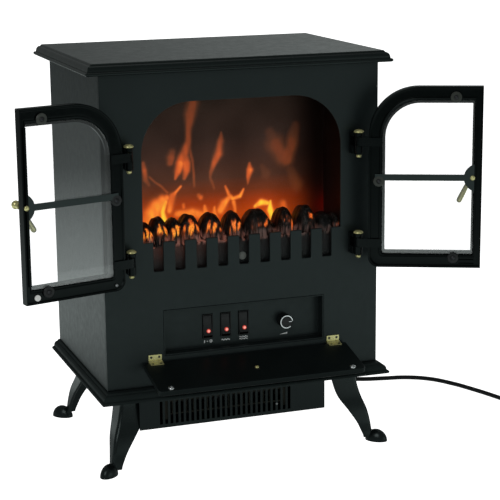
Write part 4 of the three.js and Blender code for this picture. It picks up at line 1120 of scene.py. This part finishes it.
def add_bracket(side, level):
    """A plate on the front panel with two lugs round the hinge pin."""
    x, y, top = hinge_axis(side, level)
    inward = -SIGNS[side]
    back = -HALF_DEPTH - 0.3
    parts = [block(*sorted((x - 8 * inward, x + 7.6 * inward)), back - 2.3, back, top - 31.4, top - 2.6, 0.7)]
    for low, high in ((top - 7.7, top - 2.6), (top - 31.4, top - 19.9)):
        parts.append(block(*sorted((x - 4.9 * inward, x + 7 * inward)), y + 3, back - 1.5, low, high, 0.6))
        tall = high - low
        barrel = [(2.75, 0), (5.1, 0), (5.5, 0.5), (5.5, tall - 0.5), (5.1, tall), (2.75, tall), (2.75, 0)]
        parts.append(turned(barrel, (x, y, low), "z", 36))
    piece(f"{side}_{level}_bracket", merged(*parts), HINGE, f"{side}_{level}_hinge_bracket")


def add_hinge_pin(side, level):
    node = f"{side}_{level}_hinge_pin"
    profile = [(0, -36.2), (1.6, -36.0), (2.9, -35.2), (3.5, -33.8), (3.4, -32.8), (2.9, -32.1),
               (2.6, -31.8), (2.6, -2.2), (6.2, -2.2), (6.7, -1.7), (6.7, -1.0), (6.1, 0.0), (4.8, 1.1),
               (2.8, 1.9), (0, 2.2)]
    piece(f"{node}_turned", turned(profile, hinge_axis(side, level), "z", 36), BRASS, node)


def add_catch_button():
    """The left door's white catch button, and the small screw in its other corner."""
    place = door_place("left")
    profile = [(0, -1), (3.8, -1), (3.8, 0.9), (3.2, 1.6), (1.6, 2.0), (0, 2.1)]
    button = turned(profile, (139.1, DOOR.inner, 266.4), sides=28)
    # The catch button glows a little: painted light.
    piece("catch_button", button, GLOWING_WHITE, None, "left_door", place)
    screw = screw_head((27.0, DOOR.inner - 0.6, 265.8), "y", 1, 2.0)
    piece("left_door_corner_screw", screw, STEEL, None, "left_door", place)


def add_catch_keeper():
    """Two thin lips on the right door that the catch snaps between."""
    near, far = DOOR.inner - 2.2, DOOR.inner + 0.5
    lips = [block(134, 154, near, far, low, low + 1.4, 0.3) for low in (263.2, 268.4)]
    piece("catch_keeper", merged(*lips), GLOSS, None, "right_door", door_place("right"))


add_door("left")
add_catch_button()
add_door("right")
add_catch_keeper()

# ---- Control flap ----
# The flap is drawn flat about its hinge axis: -y runs to its front edge and its inner face is up.
FLAP_AXIS = Sizes(y=-138.8, z=150.1, droop=math.radians(13.3))
FLAP_SIZE = Sizes(half=143.5, start=2.6, length=76.0, thick=9.4, corner=6.0)
KNOB_Y = -43.1
LEAF_X = 126.3


def flap_place(x, y, z):
    cos, sin = math.cos(FLAP_AXIS.droop), math.sin(FLAP_AXIS.droop)
    return at(x, FLAP_AXIS.y + y * cos - z * sin, FLAP_AXIS.z + y * sin + z * cos)


def flap_geometry():
    """A slab with rounded front corners, a bevelled outer face and soft arrises."""
    levels = [(4.4, 0), (3.9, 0.15), (0.25, 2.7), (0.0, 3.2), (0.0, 8.5), (0.25, 9.1), (0.9, 9.4)]
    outlines = []
    for inset, height in levels:
        r = FLAP_SIZE.corner - inset / 2
        rim = rectangle(FLAP_SIZE.half - inset, inset - FLAP_SIZE.length, -FLAP_SIZE.start - inset)
        outlines.append([(x, y, height - FLAP_SIZE.thick) for x, y in rounded(rim, [r, r, 0.6, 0.6], 8)])
    return loft(outlines)


def add_flap():
    def on_flap(name, geometry, material, node=None):
        piece(name, geometry, material, node, "flap", flap_place)

    on_flap("control_flap_panel", flap_geometry(), FLAP, "control_flap")
    profile = [(0, 0), (4.0, 0), (3.7, -1.0), (3.4, -4.0), (4.6, -5.6), (7.2, -6.9), (8.0, -8.4),
               (7.8, -10.2), (6.4, -11.9), (3.6, -12.8), (0, -13.0)]
    knob = turned(profile, (0, KNOB_Y, -FLAP_SIZE.thick - 0.3), "z", 36)
    on_flap("flap_knob_turned", knob, PLASTIC, "flap_knob")
    washer = turned([(0, 0), (6.0, 0), (6.0, 0.35), (5.6, 0.6), (0, 0.6)], (0, KNOB_Y, 0), "z")
    on_flap("flap_knob_washer", washer, PLASTIC)
    on_flap("flap_knob_screw", screw_head((0, KNOB_Y, 0.6), "z", 1, 2.9), BRASS)
    on_flap("flap_bumpers", merged(*(screw_head((x, -69.6, 0), "z", 1, 4.2) for x in (-126, 126))), CHROME)
    for side, sign in SIGNS.items():
        refined(f"{side}_flap_hinge_leaf", BRASS, 0.12)
        refined(f"{side}_panel_hinge_leaf", BRASS, 0.12)
        places = [sign * LEAF_X + dx for dx in (-5.4, 5.4)]
        upright = [screw_head((x, -137.3, 156.2), "y", -1, 1.7, 0.07) for x in places]
        piece(f"{side}_hinge_panel_screws", merged(*upright), DARK_STEEL)
        flat = [screw_head((x, -6.6, 1.3), "z", 1, 1.7, 0.07) for x in places]
        on_flap(f"{side}_hinge_flap_screws", merged(*flat), DARK_STEEL)


add_flap()

# ---- Stage and light ----
STUDIO = (0.92, 1.0, 0.98, 1)
# Each lobe of the studio is (direction, where it starts, where it is full, strength).
LOBES = [((0.72, 0.66, 0.20), 0.82, 1.0, 0.34), ((0.66, -0.74, -0.1), 0.86, 0.97, 0.55)]


def add_world():
    """A dim studio, white only to look at, that grows brighter to the right and behind."""
    world = bpy.data.worlds.new("studio")
    bpy.context.scene.world = world
    world.use_nodes = True
    n = Nodes(world.node_tree)
    total = 0.135
    direction = n.node("TexCoord").outputs["Generated"]
    for aim, start, end, strength in LOBES:
        inputs = {0: direction, 1: Vector(aim).normalized()}
        facing = n.fed("VectorMath", "Value", inputs, operation="DOT_PRODUCT")
        total = n.calculate("ADD", n.spread(facing, 0.0, strength, start, end), total)
    room = n.fed("Background", "Background", {"Color": STUDIO, "Strength": total})
    white = n.fed("Background", "Background", {"Color": (1, 1, 1, 1), "Strength": 1.3})
    n.put(n.white_to_camera(room, white), n.tree.nodes["World Output"].inputs["Surface"])


def add_floor():
    """A sheet of paper that is white to look at and, in reflections, brightest near the stove."""
    mesh = bpy.data.meshes.new("floor")
    half, drop = 9.0, 0.0004
    mesh.from_pydata([(x, y, -drop) for x, y in rectangle(half, -half, half)], [], [(0, 1, 2, 3)])
    r = Recipe("floor_paper")
    tone = r.cloud(900, 2)
    r.set(base_color=r.blend(tone, (0.80, 0.80, 0.80, 1), (0.83, 0.83, 0.83, 1)), roughness=0.9)
    seen = r.fed("Emission", "Emission", {"Strength": 1.25})
    paper = r.fed("AddShader", "Shader", {0: r.shader.outputs["BSDF"], 1: seen})
    away = r.fed("VectorMath", "Value", {0: r.coordinates()}, operation="LENGTH")
    near, far = r.spread(away, 0.26, 1.0, 0.36, 0.80), r.spread(away, 0.76, 0.15, 0.8, 2.4)
    strength = r.calculate("MULTIPLY", near, far)
    lighting = r.fed("Emission", "Emission", {"Color": (0.90, 1.0, 0.98, 1), "Strength": strength})
    r.put(r.white_to_camera(lighting, paper), r.surface)
    mesh.materials.append(r.material)
    linked("floor", mesh)


def add_softbox(name, place, size, watts):
    """A soft light that points at the middle of the stove."""
    data = bpy.data.lights.new(name, "AREA")
    data.shape = "RECTANGLE"
    data.size, data.size_y = size
    data.energy = watts
    light = linked(name, data)
    light.location = place
    light.rotation_mode = "QUATERNION"
    light.rotation_quaternion = (Vector((0, 0, 0.3)) - Vector(place)).to_track_quat("-Z", "Y")


add_world()
add_floor()
add_softbox("key", (-1.9, -2.2, 2.1), (1.8, 1.8), 15)
add_softbox("top", (0.3, 0.3, 2.8), (1.6, 1.2), 2)
bpy.context.scene.view_settings.view_transform = "Standard"
